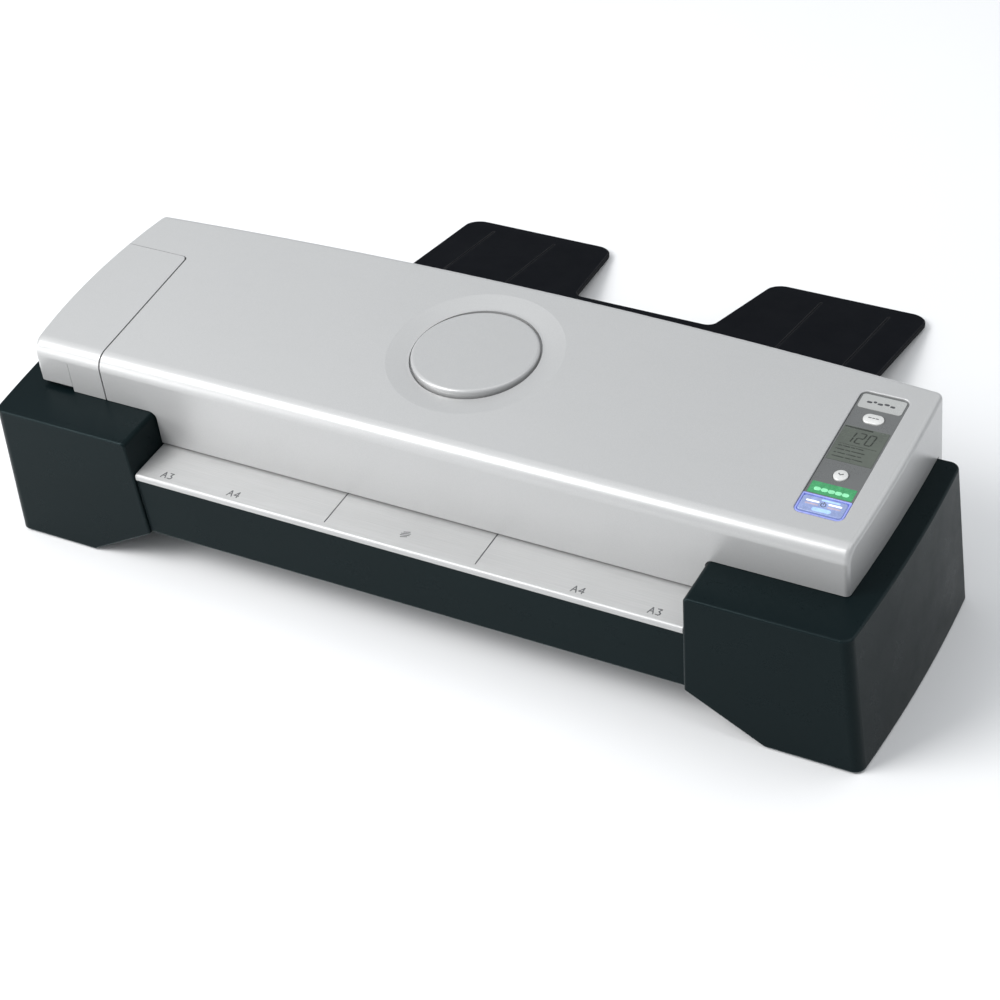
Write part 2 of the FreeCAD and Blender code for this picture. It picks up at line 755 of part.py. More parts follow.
EAR_GAUGE = 4.0
EAR_SPACE = 7.6
EAR_START = 158.6                    # within the rear panel's wall
PIN_RADIUS = 2.0
hinge_y = D.front + D.hinge_y
ears = []
pins = []
for n, x in enumerate(HINGE_PLACES):
    pin_start = x - EAR_SPACE / 2 - EAR_GAUGE - 0.6
    pins.append(rod(f"hinge_pin_{n}", "x", (pin_start, hinge_y, D.hinge_z), PIN_RADIUS,
                    EAR_SPACE + 2 * EAR_GAUGE + 1.2))
    for side in (-1, 1):
        inner_x = x + side * EAR_SPACE / 2 - (EAR_GAUGE if side < 0 else 0)
        tag = f"{n}_{'right' if side > 0 else 'left'}"
        ears.append(box(f"ear_root_{tag}", (inner_x, inner_x + EAR_GAUGE), (D.front + EAR_START, hinge_y),
                        (D.hinge_z - EAR_RADIUS, D.hinge_z + EAR_RADIUS)))
        ears.append(rod(f"ear_round_{tag}", "x", (inner_x, hinge_y, D.hinge_z), EAR_RADIUS, EAR_GAUGE))
bores = [rod(f"hinge_bore_{n}", "x", (x - 12, hinge_y, D.hinge_z), PIN_RADIUS + 0.02, 24.0)
         for n, x in enumerate(HINGE_PLACES)]
keep(cut("rear_bored", fuse("rear_with_ears", rear_shell, *ears), *bores), "rear_panel")
keep(group("hinge_pin_group", *pins), "tray_hinge_pins")


# ---------------------------------------------------------------- delivery tray

# The tray is drawn flat, with its hinge axis on the origin's X axis, then tipped down onto the table.
tray = doc.addObject("PartDesign::Body", "tray")
half_gauge = D.tray_gauge / 2
TRAY_START = 6.5
NOTCH_START = 131.0
NOTCH_HALF = 46.0
NOTCH_MOUTH_HALF = 56.0
tray_corners = [
    (-D.tray_half, TRAY_START), (D.tray_half, TRAY_START),
    (D.tray_half, D.tray_length), (NOTCH_MOUTH_HALF, D.tray_length),
    (NOTCH_HALF, NOTCH_START), (-NOTCH_HALF, NOTCH_START),
    (-NOTCH_MOUTH_HALF, D.tray_length), (-D.tray_half, D.tray_length),
]
add_pad(tray, "tray_pad", body_sketch(tray, "tray_plan", "XY_Plane", -half_gauge, tray_corners), D.tray_gauge)
doc.recompute()


def edges_where(shape, wanted):
    return [f"Edge{n}" for n, edge in enumerate(shape.Edges, start=1) if wanted(edge)]


def dress(body, kind, name, size, wanted):
    base = body.Tip
    names = edges_where(base.Shape, wanted)
    feature = body.newObject(f"PartDesign::{kind}", name)
    feature.Base = (base, names)
    bind(feature, "Radius" if kind == "Fillet" else "Size", size)
    doc.recompute()
    return feature


dress(tray, "Fillet", "tray_outer_corners", 11.0,
      lambda e: is_vertical(e) and e.Vertexes[0].Y > D.tray_length - 1)
dress(tray, "Fillet", "tray_notch_corners", 6.0,
      lambda e: is_vertical(e) and abs(e.Vertexes[0].Y - NOTCH_START) < 1)
dress(tray, "Chamfer", "tray_bevel", 0.7,
      lambda e: e.BoundBox.ZMin > half_gauge - 0.01 and e.BoundBox.YMax > TRAY_START + 1)
for n, line in enumerate((-136.5, -92.5, 92.5, 136.5)):
    near_end = 12.0
    far_end = D.tray_length - 12
    groove = [(line - 0.6, near_end), (line + 0.6, near_end), (line + 0.6, far_end), (line - 0.6, far_end)]
    groove_plan = body_sketch(tray, f"tray_groove_plan_{n}", "XY_Plane", half_gauge, groove)
    add_pocket(tray, f"tray_groove_{n}", groove_plan, 0.5)
knuckles = []
for n, x in enumerate(HINGE_PLACES):
    low = x - EAR_SPACE / 2 + 0.4
    high = x + EAR_SPACE / 2 - 0.4
    knuckles.append(rod(f"knuckle_{n}", "x", (low, 0.0, 0.0), EAR_RADIUS - 0.3, high - low))
    knuckles.append(box(f"knuckle_web_{n}", (low, high), (0.0, 9.0), (-half_gauge, half_gauge)))
knuckle_bores = [rod(f"knuckle_bore_{n}", "x", (x - 12, 0.0, 0.0), PIN_RADIUS + D.running_gap, 24.0)
                 for n, x in enumerate(HINGE_PLACES)]
exit_tray = cut("tray_bored", fuse("tray_with_knuckles", tray, *knuckles), *knuckle_bores)
place(exit_tray, 0.0, hinge_y, D.hinge_z, V(1, 0, 0), -D.tray_slope)
keep(exit_tray, "exit_tray")


# ---------------------------------------------------------------- side frames, bushes, springs and tie rods

FRAME_FRONT = 44.0
FRAME_REAR = 142.0
FRAME_TOP = 106.0
BLOCK_TRAVEL = 5.0
TIES = [(50.0, 100.5), (130.0, 100.5), (66.0, 37.5)]
TIE_RADIUS = 3.5
AXLE_RADIUS = 3.0
PINION_RISE = 22.0


def side_frame(name, drive_side):
    """The right steel side frame: a plate with a foot flange and spring tabs, bored for its bushes."""
    foot = PAN_LOW + D.sheet_gauge
    parts = [
        box(f"{name}_plate", (D.frame_half, frame_outer), (D.front + FRAME_FRONT, D.front + FRAME_REAR),
            (foot, FRAME_TOP)),
        box(f"{name}_foot", (frame_outer - 12, frame_outer), (D.front + FRAME_FRONT, D.front + FRAME_REAR),
            (foot, foot + D.sheet_gauge)),
    ]
    holes = []
    for n, y in enumerate((front_roller_y, rear_roller_y)):
        parts.append(box(f"{name}_tab_{n}", (D.frame_half - 9, D.frame_half + 1), (y - 6, y + 6),
                         (FRAME_TOP - 2, FRAME_TOP)))
        start = D.frame_half - 1
        fit = D.bush_radius + 0.02
        holes.append(rod(f"{name}_low_{n}", "x", (start, y, lower_axis), fit, D.sheet_gauge + 2))
        holes.append(rod(f"{name}_high_{n}", "x", (start, y, upper_axis), fit, D.sheet_gauge + 2))
        holes.append(box(f"{name}_guide_{n}", (start, frame_outer + 1), (y - fit, y + fit),
                         (upper_axis, upper_axis + BLOCK_TRAVEL)))
    if drive_side:
        axle_start = (D.frame_half - 1, idler_y, lower_axis)
        holes.append(rod(f"{name}_axle", "x", axle_start, AXLE_RADIUS + 0.02, 4.0))
    return cut(name, fuse(f"{name}_blank", *parts), *holes)


keep(side_frame("right_frame", True), "right_side_frame")
keep(mirrored("left_frame", side_frame("left_frame_source", False)), "left_side_frame")


def bushes(name):
    made = []
    for tag, y, z in (("a", front_roller_y, lower_axis), ("b", rear_roller_y, lower_axis),
                      ("c", front_roller_y, upper_axis), ("d", rear_roller_y, upper_axis)):
        barrel = rod(f"{name}_barrel_{tag}", "x", (D.frame_half - 7, y, z), D.bush_radius, 9.0)
        flange = rod(f"{name}_flange_{tag}", "x", (frame_outer + 0.02, y, z), D.bush_radius + 1.6, 1.4)
        bore = rod(f"{name}_bore_{tag}", "x", (D.frame_half - 8, y, z),
                   D.journal_radius + D.running_gap, 14.0)
        made.append(cut(f"{name}_{tag}", fuse(f"{name}_blank_{tag}", barrel, flange), bore))
    return group(name, *made)


right_bushes = keep(bushes("right_bush"), "right_bushes")
keep(mirrored("left_bush", right_bushes), "left_bushes")

ties = [rod(f"tie_rod_{n}", "x", (-D.frame_half + 0.02, D.front + y, z), TIE_RADIUS,
            D.frame_half * 2 - 0.04) for n, (y, z) in enumerate(TIES)]
keep(group("tie_rod_group", *ties), "tie_rods")

frame_screws = []
for n, (y, z) in enumerate(TIES):
    for side in (-1, 1):
        start = frame_outer + 0.02 if side > 0 else -frame_outer - 0.02 - 2.2
        frame_screws.append(rod(f"frame_screw_{n}_{'right' if side > 0 else 'left'}", "x",
                                (start, D.front + y, z), 3.6, 2.2))
keep(group("frame_screw_group", *frame_screws), "frame_screws")


# Each spring is a coil of wire between a bush and the tab above it.
SPRING_X = D.frame_half - 4.5
SPRING_RADIUS = 2.8
WIRE_RADIUS = 0.5
SPRING_TURNS = 5


def coil(x, y, low, high):
    rise = high - low - 2 * WIRE_RADIUS
    helix = Part.makeHelix(rise / SPRING_TURNS, rise, SPRING_RADIUS)
    ring = Part.Wire([Part.makeCircle(WIRE_RADIUS, V(SPRING_RADIUS, 0, 0), V(0, 1, 0))])
    wire = Part.Wire(helix.Edges).makePipeShell([ring], True, True)
    wire.translate(V(x, y, low + WIRE_RADIUS))
    return wire


spring_low = float(upper_axis + D.bush_radius) + 0.3
coils = [coil(side * float(SPRING_X), float(y), spring_low, FRAME_TOP - 2.3)
         for side in (-1, 1) for y in (front_roller_y, rear_roller_y)]
springs = doc.addObject("Part::Feature", "springs")
springs.Shape = Part.makeCompound(coils)
keep(springs, "pressure_springs")


# ---------------------------------------------------------------- rollers and gears

PRESSURE_ANGLE = 20.0
ADDENDUM = 0.85
DEDENDUM = 1.15
BACKLASH = 0.10                      # taken off each flank, as a length at the pitch circle
FLANK_STEPS = 4
MODULE = float(D.gear_pitch) / 26
ROLLER_TEETH = 26
IDLER_TEETH = 30
PINION_TEETH = 14


def gear_face(teeth, phase):
    """An involute gear's face about the origin, with a tooth centred on the angle phase."""
    pitch = MODULE * teeth / 2
    base = pitch * math.cos(math.radians(PRESSURE_ANGLE))
    root = pitch - DEDENDUM * MODULE
    tip = pitch + ADDENDUM * MODULE

    def roll(radius):
        turn = math.acos(min(1.0, base / radius))
        return math.tan(turn) - turn

    half_tooth = math.pi / (2 * teeth) - BACKLASH / pitch
    start = max(base, root)
    radii = [start + (tip - start) * n / FLANK_STEPS for n in range(FLANK_STEPS + 1)]
    flank = [(r, half_tooth + roll(pitch) - roll(r)) for r in radii]
    if root < base:
        flank.insert(0, (root, flank[0][1] + 0.01))
    points = []
    for tooth in range(teeth):
        centre = math.radians(phase) + 2 * math.pi * tooth / teeth
        sides = [(r, centre - a) for r, a in flank] + [(r, centre + a) for r, a in reversed(flank)]
        points += [V(0, r * math.cos(a), r * math.sin(a)) for r, a in sides]
    return Part.Face(Part.makePolygon(points + points[:1]))


def gear(name, teeth, phase, x, y, z, bore):
    """A spur gear across its shaft's axis, which runs along X."""
    wheel = gear_face(teeth, phase).extrude(V(float(D.gear_width), 0, 0))
    hole = Part.makeCylinder(bore, float(D.gear_width) + 2, V(-1, 0, 0), V(1, 0, 0))
    item = doc.addObject("Part::Feature", name)
    item.Shape = wheel.cut(hole)
    place(item, x, y, z)
    return keep(item, name)


CORE_RADIUS = 8.0
CORE_HALF = 165.0
SHAFT_LEFT = -182.0
shaft_right = D.gear_start + D.gear_width + 1


def roller_shaft(name, y, z):
    """A turned shaft: a thick core between two journals, made by turning its outline about its axis."""
    body = doc.addObject("PartDesign::Body", name)
    journal = D.journal_radius
    corners = [
        (SHAFT_LEFT, 0), (shaft_right, 0), (shaft_right, journal),
        (CORE_HALF, journal), (CORE_HALF, CORE_RADIUS), (-CORE_HALF, CORE_RADIUS),
        (-CORE_HALF, journal), (SHAFT_LEFT, journal),
    ]
    sketch = body_sketch(body, f"{name}_outline", "XY_Plane", 0, corners)
    turned = body.newObject("PartDesign::Revolution", f"{name}_turned")
    turned.Profile = sketch
    turned.ReferenceAxis = (origin_plane(body, "X_Axis"), [""])
    turned.Angle = 360.0
    return place(body, 0, y, z)


# A pair is in mesh when one gear's tooth points at the other's gap along the line between their centres.
HALF_PITCH = 180.0 / ROLLER_TEETH
ROLLERS = [
    ("lower_front", front_roller_y, lower_axis, 90.0),
    ("upper_front", front_roller_y, upper_axis, 270.0 + HALF_PITCH),
    ("lower_rear", rear_roller_y, lower_axis, 90.0),
    ("upper_rear", rear_roller_y, upper_axis, 270.0 + HALF_PITCH),
]
for which, y, z, phase in ROLLERS:
    keep(roller_shaft(f"{which}_shaft", y, z), f"{which}_shaft")
    sleeve = rod(f"{which}_sleeve", "x", (-D.roller_half, y, z), D.roller_radius, D.roller_half * 2)
    core = rod(f"{which}_core", "x", (-D.roller_half - 1, y, z), CORE_RADIUS + 0.02, D.roller_half * 2 + 2)
    keep(cut(f"{which}_rubber", sleeve, core), f"{which}_rubber")
    gear(f"{which}_gear", ROLLER_TEETH, phase, D.gear_start, y, z, float(D.journal_radius) + 0.02)

gear("idler_gear", IDLER_TEETH, 180.0, D.gear_start, idler_y, lower_axis, AXLE_RADIUS + float(D.running_gap))
PINION_BORE = 2.5
pinion_axis = lower_axis + PINION_RISE
gear("motor_pinion", PINION_TEETH, 270.0, D.gear_start, idler_y, pinion_axis, PINION_BORE + 0.02)


# ---------------------------------------------------------------- motor and its bracket

BRACKET_LOW = 188.6
BRACKET_GAUGE = 2.0
MOTOR_RADIUS = 24.0
MOTOR_LENGTH = 34.0
motor_face = BRACKET_LOW + BRACKET_GAUGE
POSTS = [(74.0, 101.0), (106.0, 101.0), (90.0, 35.4)]
bracket_parts = [box("bracket_plate", (BRACKET_LOW, motor_face), (D.front + 66, D.front + 114),
                     (31.5, 105.0))]
bracket_parts += [rod(f"bracket_post_{n}", "x", (frame_outer + 0.02, D.front + y, z), 2.8,
                      BRACKET_LOW - frame_outer + 1) for n, (y, z) in enumerate(POSTS)]
bracket_holes = [
    rod("bracket_shaft_hole", "x", (BRACKET_LOW - 1, idler_y, pinion_axis), 8.0, 4.0),
    rod("bracket_axle_hole", "x", (BRACKET_LOW - 1, idler_y, lower_axis), AXLE_RADIUS + 0.02, 4.0),
]
keep(cut("bracket_bored", fuse("bracket_blank", *bracket_parts), *bracket_holes), "motor_bracket")
keep(rod("idler_axle_pin", "x", (D.frame_half, idler_y, lower_axis), AXLE_RADIUS, motor_face - D.frame_half),
     "idler_axle")
shaft_bore = rod("motor_bore", "x", (motor_face - 1, idler_y, pinion_axis), PINION_BORE + D.running_gap, 12.0)
motor_body = fuse(
    "motor_blank",
    rod("motor_gearbox", "x", (motor_face + 0.02, idler_y, pinion_axis), MOTOR_RADIUS, 14.0),
    rod("motor_can", "x", (motor_face + 13.0, idler_y, pinion_axis), MOTOR_RADIUS - 3, MOTOR_LENGTH - 13),
    box("motor_terminals", (motor_face + 16, motor_face + 28), (idler_y - 8, idler_y + 8),
        (pinion_axis - MOTOR_RADIUS - 3, pinion_axis - MOTOR_RADIUS + 6)),
)
keep(cut("motor_bored", motor_body, shaft_bore), "drive_motor")
keep(rod("pinion_shaft", "x", (D.gear_start - 0.5, idler_y, pinion_axis), PINION_BORE,
         motor_face + 10 - D.gear_start), "motor_shaft")


# ---------------------------------------------------------------- heater plates

PLATE_GAP = 1.1
PLATE_GAUGE = 6.0
plate_y = (D.front + 77, D.front + 103)
plate_x = (-D.frame_half + 0.02, D.frame_half - 0.02)
mat_x = (-150.0, 150.0)
mat_y = (D.front + 79, D.front + 101)
upper_face = D.nip + PLATE_GAP
lower_face = D.nip - PLATE_GAP
keep(box("upper_plate", plate_x, plate_y, (upper_face, upper_face + PLATE_GAUGE)), "upper_heater_plate")
keep(box("lower_plate", plate_x, plate_y, (lower_face - PLATE_GAUGE, lower_face)), "lower_heater_plate")
mat_base = upper_face + PLATE_GAUGE + 0.02
keep(box("upper_mat", mat_x, mat_y, (mat_base, mat_base + 1.2)), "upper_heating_mat")
keep(box("lower_mat", mat_x, mat_y, (lower_face - PLATE_GAUGE - 1.22, lower_face - PLATE_GAUGE - 0.02)),
     "lower_heating_mat")
sensor_base = mat_base + 1.22
keep(rod("cutout_can", "z", (60.0, idler_y, sensor_base), 7.5, 7.0), "thermal_cutout")
keep(box("sensor_bead", (-66.0, -54.0), (idler_y - 3, idler_y + 3), (sensor_base, sensor_base + 4)),
     "thermistor")


# ---------------------------------------------------------------- control panel

# Everything here lies along the sloping top: x across, "along" from the cover's front plane, and a height
# above the top.
PLATE_SINK = 1.0
plate_low = -PLATE_SINK - 2.0
face = -PLATE_SINK
PANEL_CORNER = 3.0
INSET_GAP = 0.1
rocker_end = D.panel_start + 14.6
ready_span = (rocker_end + 1.0, rocker_end + 9.4)
ready_edge = 1.4
set_along = 50.6
lcd_span = (60.4, 86.8)
lcd_edge = 1.1
mode_along = 94.4
label_span = (101.2, panel_end - 1.3)
label_edge = 1.3
LABEL_CORNER = 1.6
edge_gap = 0.3


def inset(name, edge, span, height, gap=0.0):
    """A block let into the panel plate: `edge` in from the panel's sides, and `gap` smaller all round."""
    return top_box(name, (panel_low + edge + gap, panel_high - edge - gap), (span[0] + gap, span[1] - gap),
                   height)


plate_front = inset("panel_plate_front", edge_gap, (rocker_end + 0.4, set_along), (plate_low, face))
plate_rear = top_plate("panel_plate_rear", (panel_low + edge_gap, panel_high - edge_gap),
                       (set_along - 2 * PANEL_CORNER, panel_end - edge_gap), (plate_low, face), PANEL_CORNER)
plate = fuse("panel_plate_blank", plate_front, plate_rear)
window = inset("ready_window", ready_edge, ready_span, (-4.0, 0.0))
lcd_seat = inset("lcd_seat", lcd_edge, lcd_span, (face - 0.8, 0.0))
label_seat = top_plate("label_seat", (panel_low + label_edge, panel_high - label_edge), label_span,
                       (face - 0.4, 1.0), LABEL_CORNER)
SET_RADIUS = 3.9
MODE_HALF_LENGTH = 5.7
MODE_HALF_WIDTH = 3.55
BUTTON_GAP = 0.3


def oval(name, along, height, half_length, half_width):
    """An oval plug square to the top, long across the machine."""
    reach = half_length - half_width
    left = top_rod(f"{name}_left", D.panel_x - reach, along, height, half_width)
    right = top_rod(f"{name}_right", D.panel_x + reach, along, height, half_width)
    middle = top_box(f"{name}_middle", (D.panel_x - reach, D.panel_x + reach),
                     (along - half_width, along + half_width), height)
    return fuse(name, left, right, middle)


set_hole = top_rod("set_hole", D.panel_x, set_along, (-6.0, 2.0), SET_RADIUS + BUTTON_GAP)
mode_hole = oval("mode_hole", mode_along, (-6.0, 2.0), MODE_HALF_LENGTH + BUTTON_GAP,
                 MODE_HALF_WIDTH + BUTTON_GAP)
keep(cut("panel_plate", plate, window, lcd_seat, label_seat, set_hole, mode_hole), "control_panel_plate")

keep(inset("lcd", lcd_edge, lcd_span, (face - 0.78, face + 0.1), INSET_GAP), "lcd_window")
label = top_plate("label", (panel_low + label_edge + INSET_GAP, panel_high - label_edge - INSET_GAP),
                  (label_span[0] + INSET_GAP, label_span[1] - INSET_GAP), (face - 0.38, face + 0.25),
                  LABEL_CORNER - INSET_GAP)
keep(label, "label_plate")
keep(inset("ready", ready_edge, ready_span, (-3.2, face + 0.05), INSET_GAP), "ready_lens")

BUTTON_RISE = 1.2
STEM_LOW = -7.6
set_cap = top_rod("set_cap", D.panel_x, set_along, (plate_low - 1.4, face + BUTTON_RISE), SET_RADIUS)
set_stem = top_rod("set_stem", D.panel_x, set_along, (STEM_LOW, plate_low - 1.3), 1.6)
keep(fuse("set_button_solid", set_cap, set_stem), "set_button")
mode_cap = oval("mode_cap", mode_along, (plate_low - 1.4, face + BUTTON_RISE), MODE_HALF_LENGTH,
                MODE_HALF_WIDTH)
mode_stem = top_rod("mode_stem", D.panel_x, mode_along, (STEM_LOW, plate_low - 1.3), 1.6)
keep(fuse("mode_button_solid", mode_cap, mode_stem), "mode_button")

BOARD_TOP = -10.6
switches = []
for tag, along in (("set", set_along), ("mode", mode_along)):
    base = top_box(f"{tag}_switch_case", (D.panel_x - 3, D.panel_x + 3), (along - 3.0, along + 3.0),
                   (BOARD_TOP + 0.02, BOARD_TOP + 1.6))
    dome = top_rod(f"{tag}_switch_dome", D.panel_x, along, (BOARD_TOP + 0.1, BOARD_TOP + 1.7), 1.2)
    switches.append(fuse(f"{tag}_switch", base, dome))
keep(group("switch_group", *switches), "button_switches")
keep(top_box("display_board", (panel_low + 1, panel_high - 1), (rocker_end + 3, panel_end - 3),
             (BOARD_TOP - 1.6, BOARD_TOP)), "control_board")

# The lit power rocker fills the front of the panel and turns in a frame of its own.
FRAME_EDGE = 1.0
frame_height = (-9.0, -0.3)
frame_front = top_plate("rocker_frame_front", (panel_low + edge_gap, panel_high - edge_gap),
                        (D.panel_start + edge_gap, rocker_end), frame_height, PANEL_CORNER)
frame_rear = inset("rocker_frame_rear", edge_gap, (rocker_end - 2 * PANEL_CORNER, rocker_end), frame_height)
rocker_room = inset("rocker_room", edge_gap + FRAME_EDGE,
                    (D.panel_start + edge_gap + FRAME_EDGE, rocker_end - FRAME_EDGE), (-7.5, 3.0))
keep(cut("rocker_frame", fuse("rocker_frame_blank", frame_front, frame_rear), rocker_room), "rocker_frame")
rocker_gap = edge_gap + FRAME_EDGE + 0.5
rocker_middle = (D.panel_start + rocker_end) / 2 + edge_gap / 2
ROCKER_PIVOT = -3.0
rocker_cap = inset("rocker_cap", rocker_gap, (D.panel_start + rocker_gap + 0.1, rocker_end - FRAME_EDGE - 0.6),
                   (-4.4, -0.1))
pivot = doc.addObject("Part::Cylinder", "rocker_pivot")
bind(pivot, "Radius", 1.2)
bind(pivot, "Height", D.panel_width - edge_gap * 2 - FRAME_EDGE * 2 - 0.2)
place(pivot, *on_top(panel_low + edge_gap + FRAME_EDGE + 0.1, rocker_middle, ROCKER_PIVOT), V(0, 1, 0), 90)
keep(fuse("rocker_solid", rocker_cap, pivot), "power_rocker")


# ---------------------------------------------------------------- power board and inlet

BOARD_X = -186.2
board_y = (D.front + 47, D.front + 134)
keep(box("power_board_plate", (BOARD_X, BOARD_X + 1.6), board_y, (36.0, 104.0)), "power_board")
spacers = [rod(f"board_spacer_{n}", "x", (BOARD_X + 1.62, D.front + y, z), 2.5,
               -frame_outer - BOARD_X - 1.64)
           for n, (y, z) in enumerate([(56.0, 42.5), (126.0, 42.5), (72.0, 99.0), (108.0, 99.0)])]
keep(group("board_spacer_group", *spacers), "board_spacers")
components = [
    box("transformer", (BOARD_X - 24, BOARD_X - 0.02), (D.front + 92, D.front + 122), (44.0, 72.0)),
    box("relay", (BOARD_X - 16, BOARD_X - 0.02), (D.front + 56, D.front + 70), (48.0, 64.0)),
    box("heat_sink", (BOARD_X - 14, BOARD_X - 0.02), (D.front + 96, D.front + 124), (80.0, 98.0)),
    rod("capacitor_large", "x", (BOARD_X - 20, D.front + 64, 84.0), 6.0, 19.98),
    rod("capacitor_small", "x", (BOARD_X - 12, D.front + 82, 60.0), 4.0, 11.98),
]
keep(group("board_components_group", *components), "board_components")

inlet_rear = housing_rear + 11.6
inlet_body = fuse(
    "inlet_blank",
    box("inlet_barrel", (INLET_X - 13.6, INLET_X + 13.6), (inlet_rear - 20, inlet_rear + 0.5),
        (INLET_Z - 10, INLET_Z + 10)),
    box("inlet_flange", (INLET_X - 18, INLET_X + 18), (inlet_rear, inlet_rear + 2.4),
        (INLET_Z - 13, INLET_Z + 13)),
)
inlet_cavity = box("inlet_cavity", (INLET_X - 12, INLET_X + 12), (inlet_rear - 14, inlet_rear + 3),
                   (INLET_Z - 8.2, INLET_Z + 8.2))
keep(cut("inlet_open", inlet_body, inlet_cavity), "power_inlet")
BLADE_PLACES = [(INLET_X - 7, INLET_Z - 2), (INLET_X, INLET_Z + 2), (INLET_X + 7, INLET_Z - 2)]
blades = [box(f"inlet_blade_{n}", (x - 1, x + 1), (inlet_rear - 13.98, inlet_rear - 3.5), (z - 2, z + 2))
          for n, (x, z) in enumerate(BLADE_PLACES)]
keep(group("inlet_blade_group", *blades), "inlet_contacts")


# ---------------------------------------------------------------- check and export

doc.recompute()
for item in doc.Objects:
    if "Invalid" in item.State or "Error" in item.State:
        raise RuntimeError(f"{item.Name} ({item.Label}) failed: {item.State}")
os.makedirs("parts", exist_ok=True)
for item in SUBPARTS:
    shape = item.Shape
    if shape.isNull() or not shape.isValid() or not shape.Solids:
        raise RuntimeError(f"{item.Label} has no valid solid")
    shape.exportStep(f"parts/{item.Label}.step")
print(f"{len(SUBPARTS)} sub-parts written")
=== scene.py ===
import json
import math

import bmesh
import bpy
from mathutils import Matrix, Vector


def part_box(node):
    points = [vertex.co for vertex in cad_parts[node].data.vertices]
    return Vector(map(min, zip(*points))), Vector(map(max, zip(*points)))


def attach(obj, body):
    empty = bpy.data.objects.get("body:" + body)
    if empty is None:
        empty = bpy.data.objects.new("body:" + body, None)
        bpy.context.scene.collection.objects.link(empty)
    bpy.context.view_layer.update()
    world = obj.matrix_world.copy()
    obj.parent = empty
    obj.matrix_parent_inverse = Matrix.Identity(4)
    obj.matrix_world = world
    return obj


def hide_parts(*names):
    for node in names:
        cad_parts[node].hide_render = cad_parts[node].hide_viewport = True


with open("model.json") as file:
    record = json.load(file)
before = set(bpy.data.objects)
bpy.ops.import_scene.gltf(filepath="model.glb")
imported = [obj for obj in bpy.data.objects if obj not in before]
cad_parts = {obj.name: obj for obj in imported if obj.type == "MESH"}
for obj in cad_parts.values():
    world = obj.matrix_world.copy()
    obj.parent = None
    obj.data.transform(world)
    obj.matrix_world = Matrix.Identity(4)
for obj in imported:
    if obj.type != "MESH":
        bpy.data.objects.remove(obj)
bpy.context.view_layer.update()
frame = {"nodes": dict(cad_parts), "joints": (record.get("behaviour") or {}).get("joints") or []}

# A desktop pouch laminator. Metres, +X towards the control panel, +Y towards the delivery side, +Z up.

NODES = frame["nodes"]
MM = 0.001

# ---------------------------------------------------------------- camera

CAMERA_AZIMUTH = 32.796       # degrees, from the front towards the control panel's end
CAMERA_ELEVATION = 39.977
CAMERA_ROLL = -7.606
CAMERA_DISTANCE = 1.41709
CAMERA_TARGET = Vector((0.018509, -0.104, 0.043863))
CAMERA_LENS = 93.10           # millimetres
SENSOR_WIDTH = 36


def make_camera():
    az, el, roll = (math.radians(a) for a in (CAMERA_AZIMUTH, CAMERA_ELEVATION, CAMERA_ROLL))
    back = Vector((math.sin(az) * math.cos(el), -math.cos(az) * math.cos(el), math.sin(el)))
    level = Vector((0, 0, 1)).cross(back).normalized()
    upright = back.cross(level)
    right = math.cos(roll) * level + math.sin(roll) * upright
    up = -math.sin(roll) * level + math.cos(roll) * upright
    lens = bpy.data.cameras.new("camera")
    lens.lens = CAMERA_LENS
    lens.sensor_width = SENSOR_WIDTH
    camera = bpy.data.objects.new("camera", lens)
    bpy.context.scene.collection.objects.link(camera)
    place = Matrix((right, up, back)).transposed().to_4x4()
    place.translation = CAMERA_TARGET + back * CAMERA_DISTANCE
    camera.matrix_world = place
    bpy.context.scene.camera = camera


make_camera()

# ---------------------------------------------------------------- light and floor


def softbox(name, direction, distance, size, power):
    """A square area light that looks at the middle of the machine."""
    lamp = bpy.data.lights.new(name, "AREA")
    lamp.shape = "RECTANGLE"
    lamp.size, lamp.size_y = size
    lamp.energy = power
    holder = bpy.data.objects.new(name, lamp)
    bpy.context.scene.collection.objects.link(holder)
    way = Vector(direction).normalized()
    holder.location = way * distance
    holder.rotation_euler = way.to_track_quat("Z", "Y").to_euler()


SKY_COLOR = (0.80, 0.84, 0.88, 1)
SKY_STRENGTH = 0.67


def make_light():
    softbox("key", (-0.42, -0.53, 0.74), 1.8, (0.90, 0.80), 25)
    softbox("overhead", (-0.42, 0.10, 1.0), 2.2, (1.6, 1.6), 7)
    softbox("high", (0.48, 0.05, 1.0), 2.4, (1.8, 1.8), 12)
    softbox("rear", (0.60, 0.78, 0.80), 3.0, (2.4, 2.4), 11)
    softbox("left", (-0.95, -0.75, 0.24), 2.4, (1.8, 0.9), 24)
    world = bpy.data.worlds.new("studio")
    bpy.context.scene.world = world
    world.use_nodes = True
    background = world.node_tree.nodes["Background"]
    background.inputs["Color"].default_value = SKY_COLOR
    background.inputs["Strength"].default_value = SKY_STRENGTH
    bpy.context.scene.view_settings.view_transform = "Standard"


make_light()


# ---------------------------------------------------------------- material nodes

FLAT_DOT = 0.995        # between a surface's normal and its bevelled normal: above this it is flat
EDGE_DOT = 0.90         # and below this it is an edge


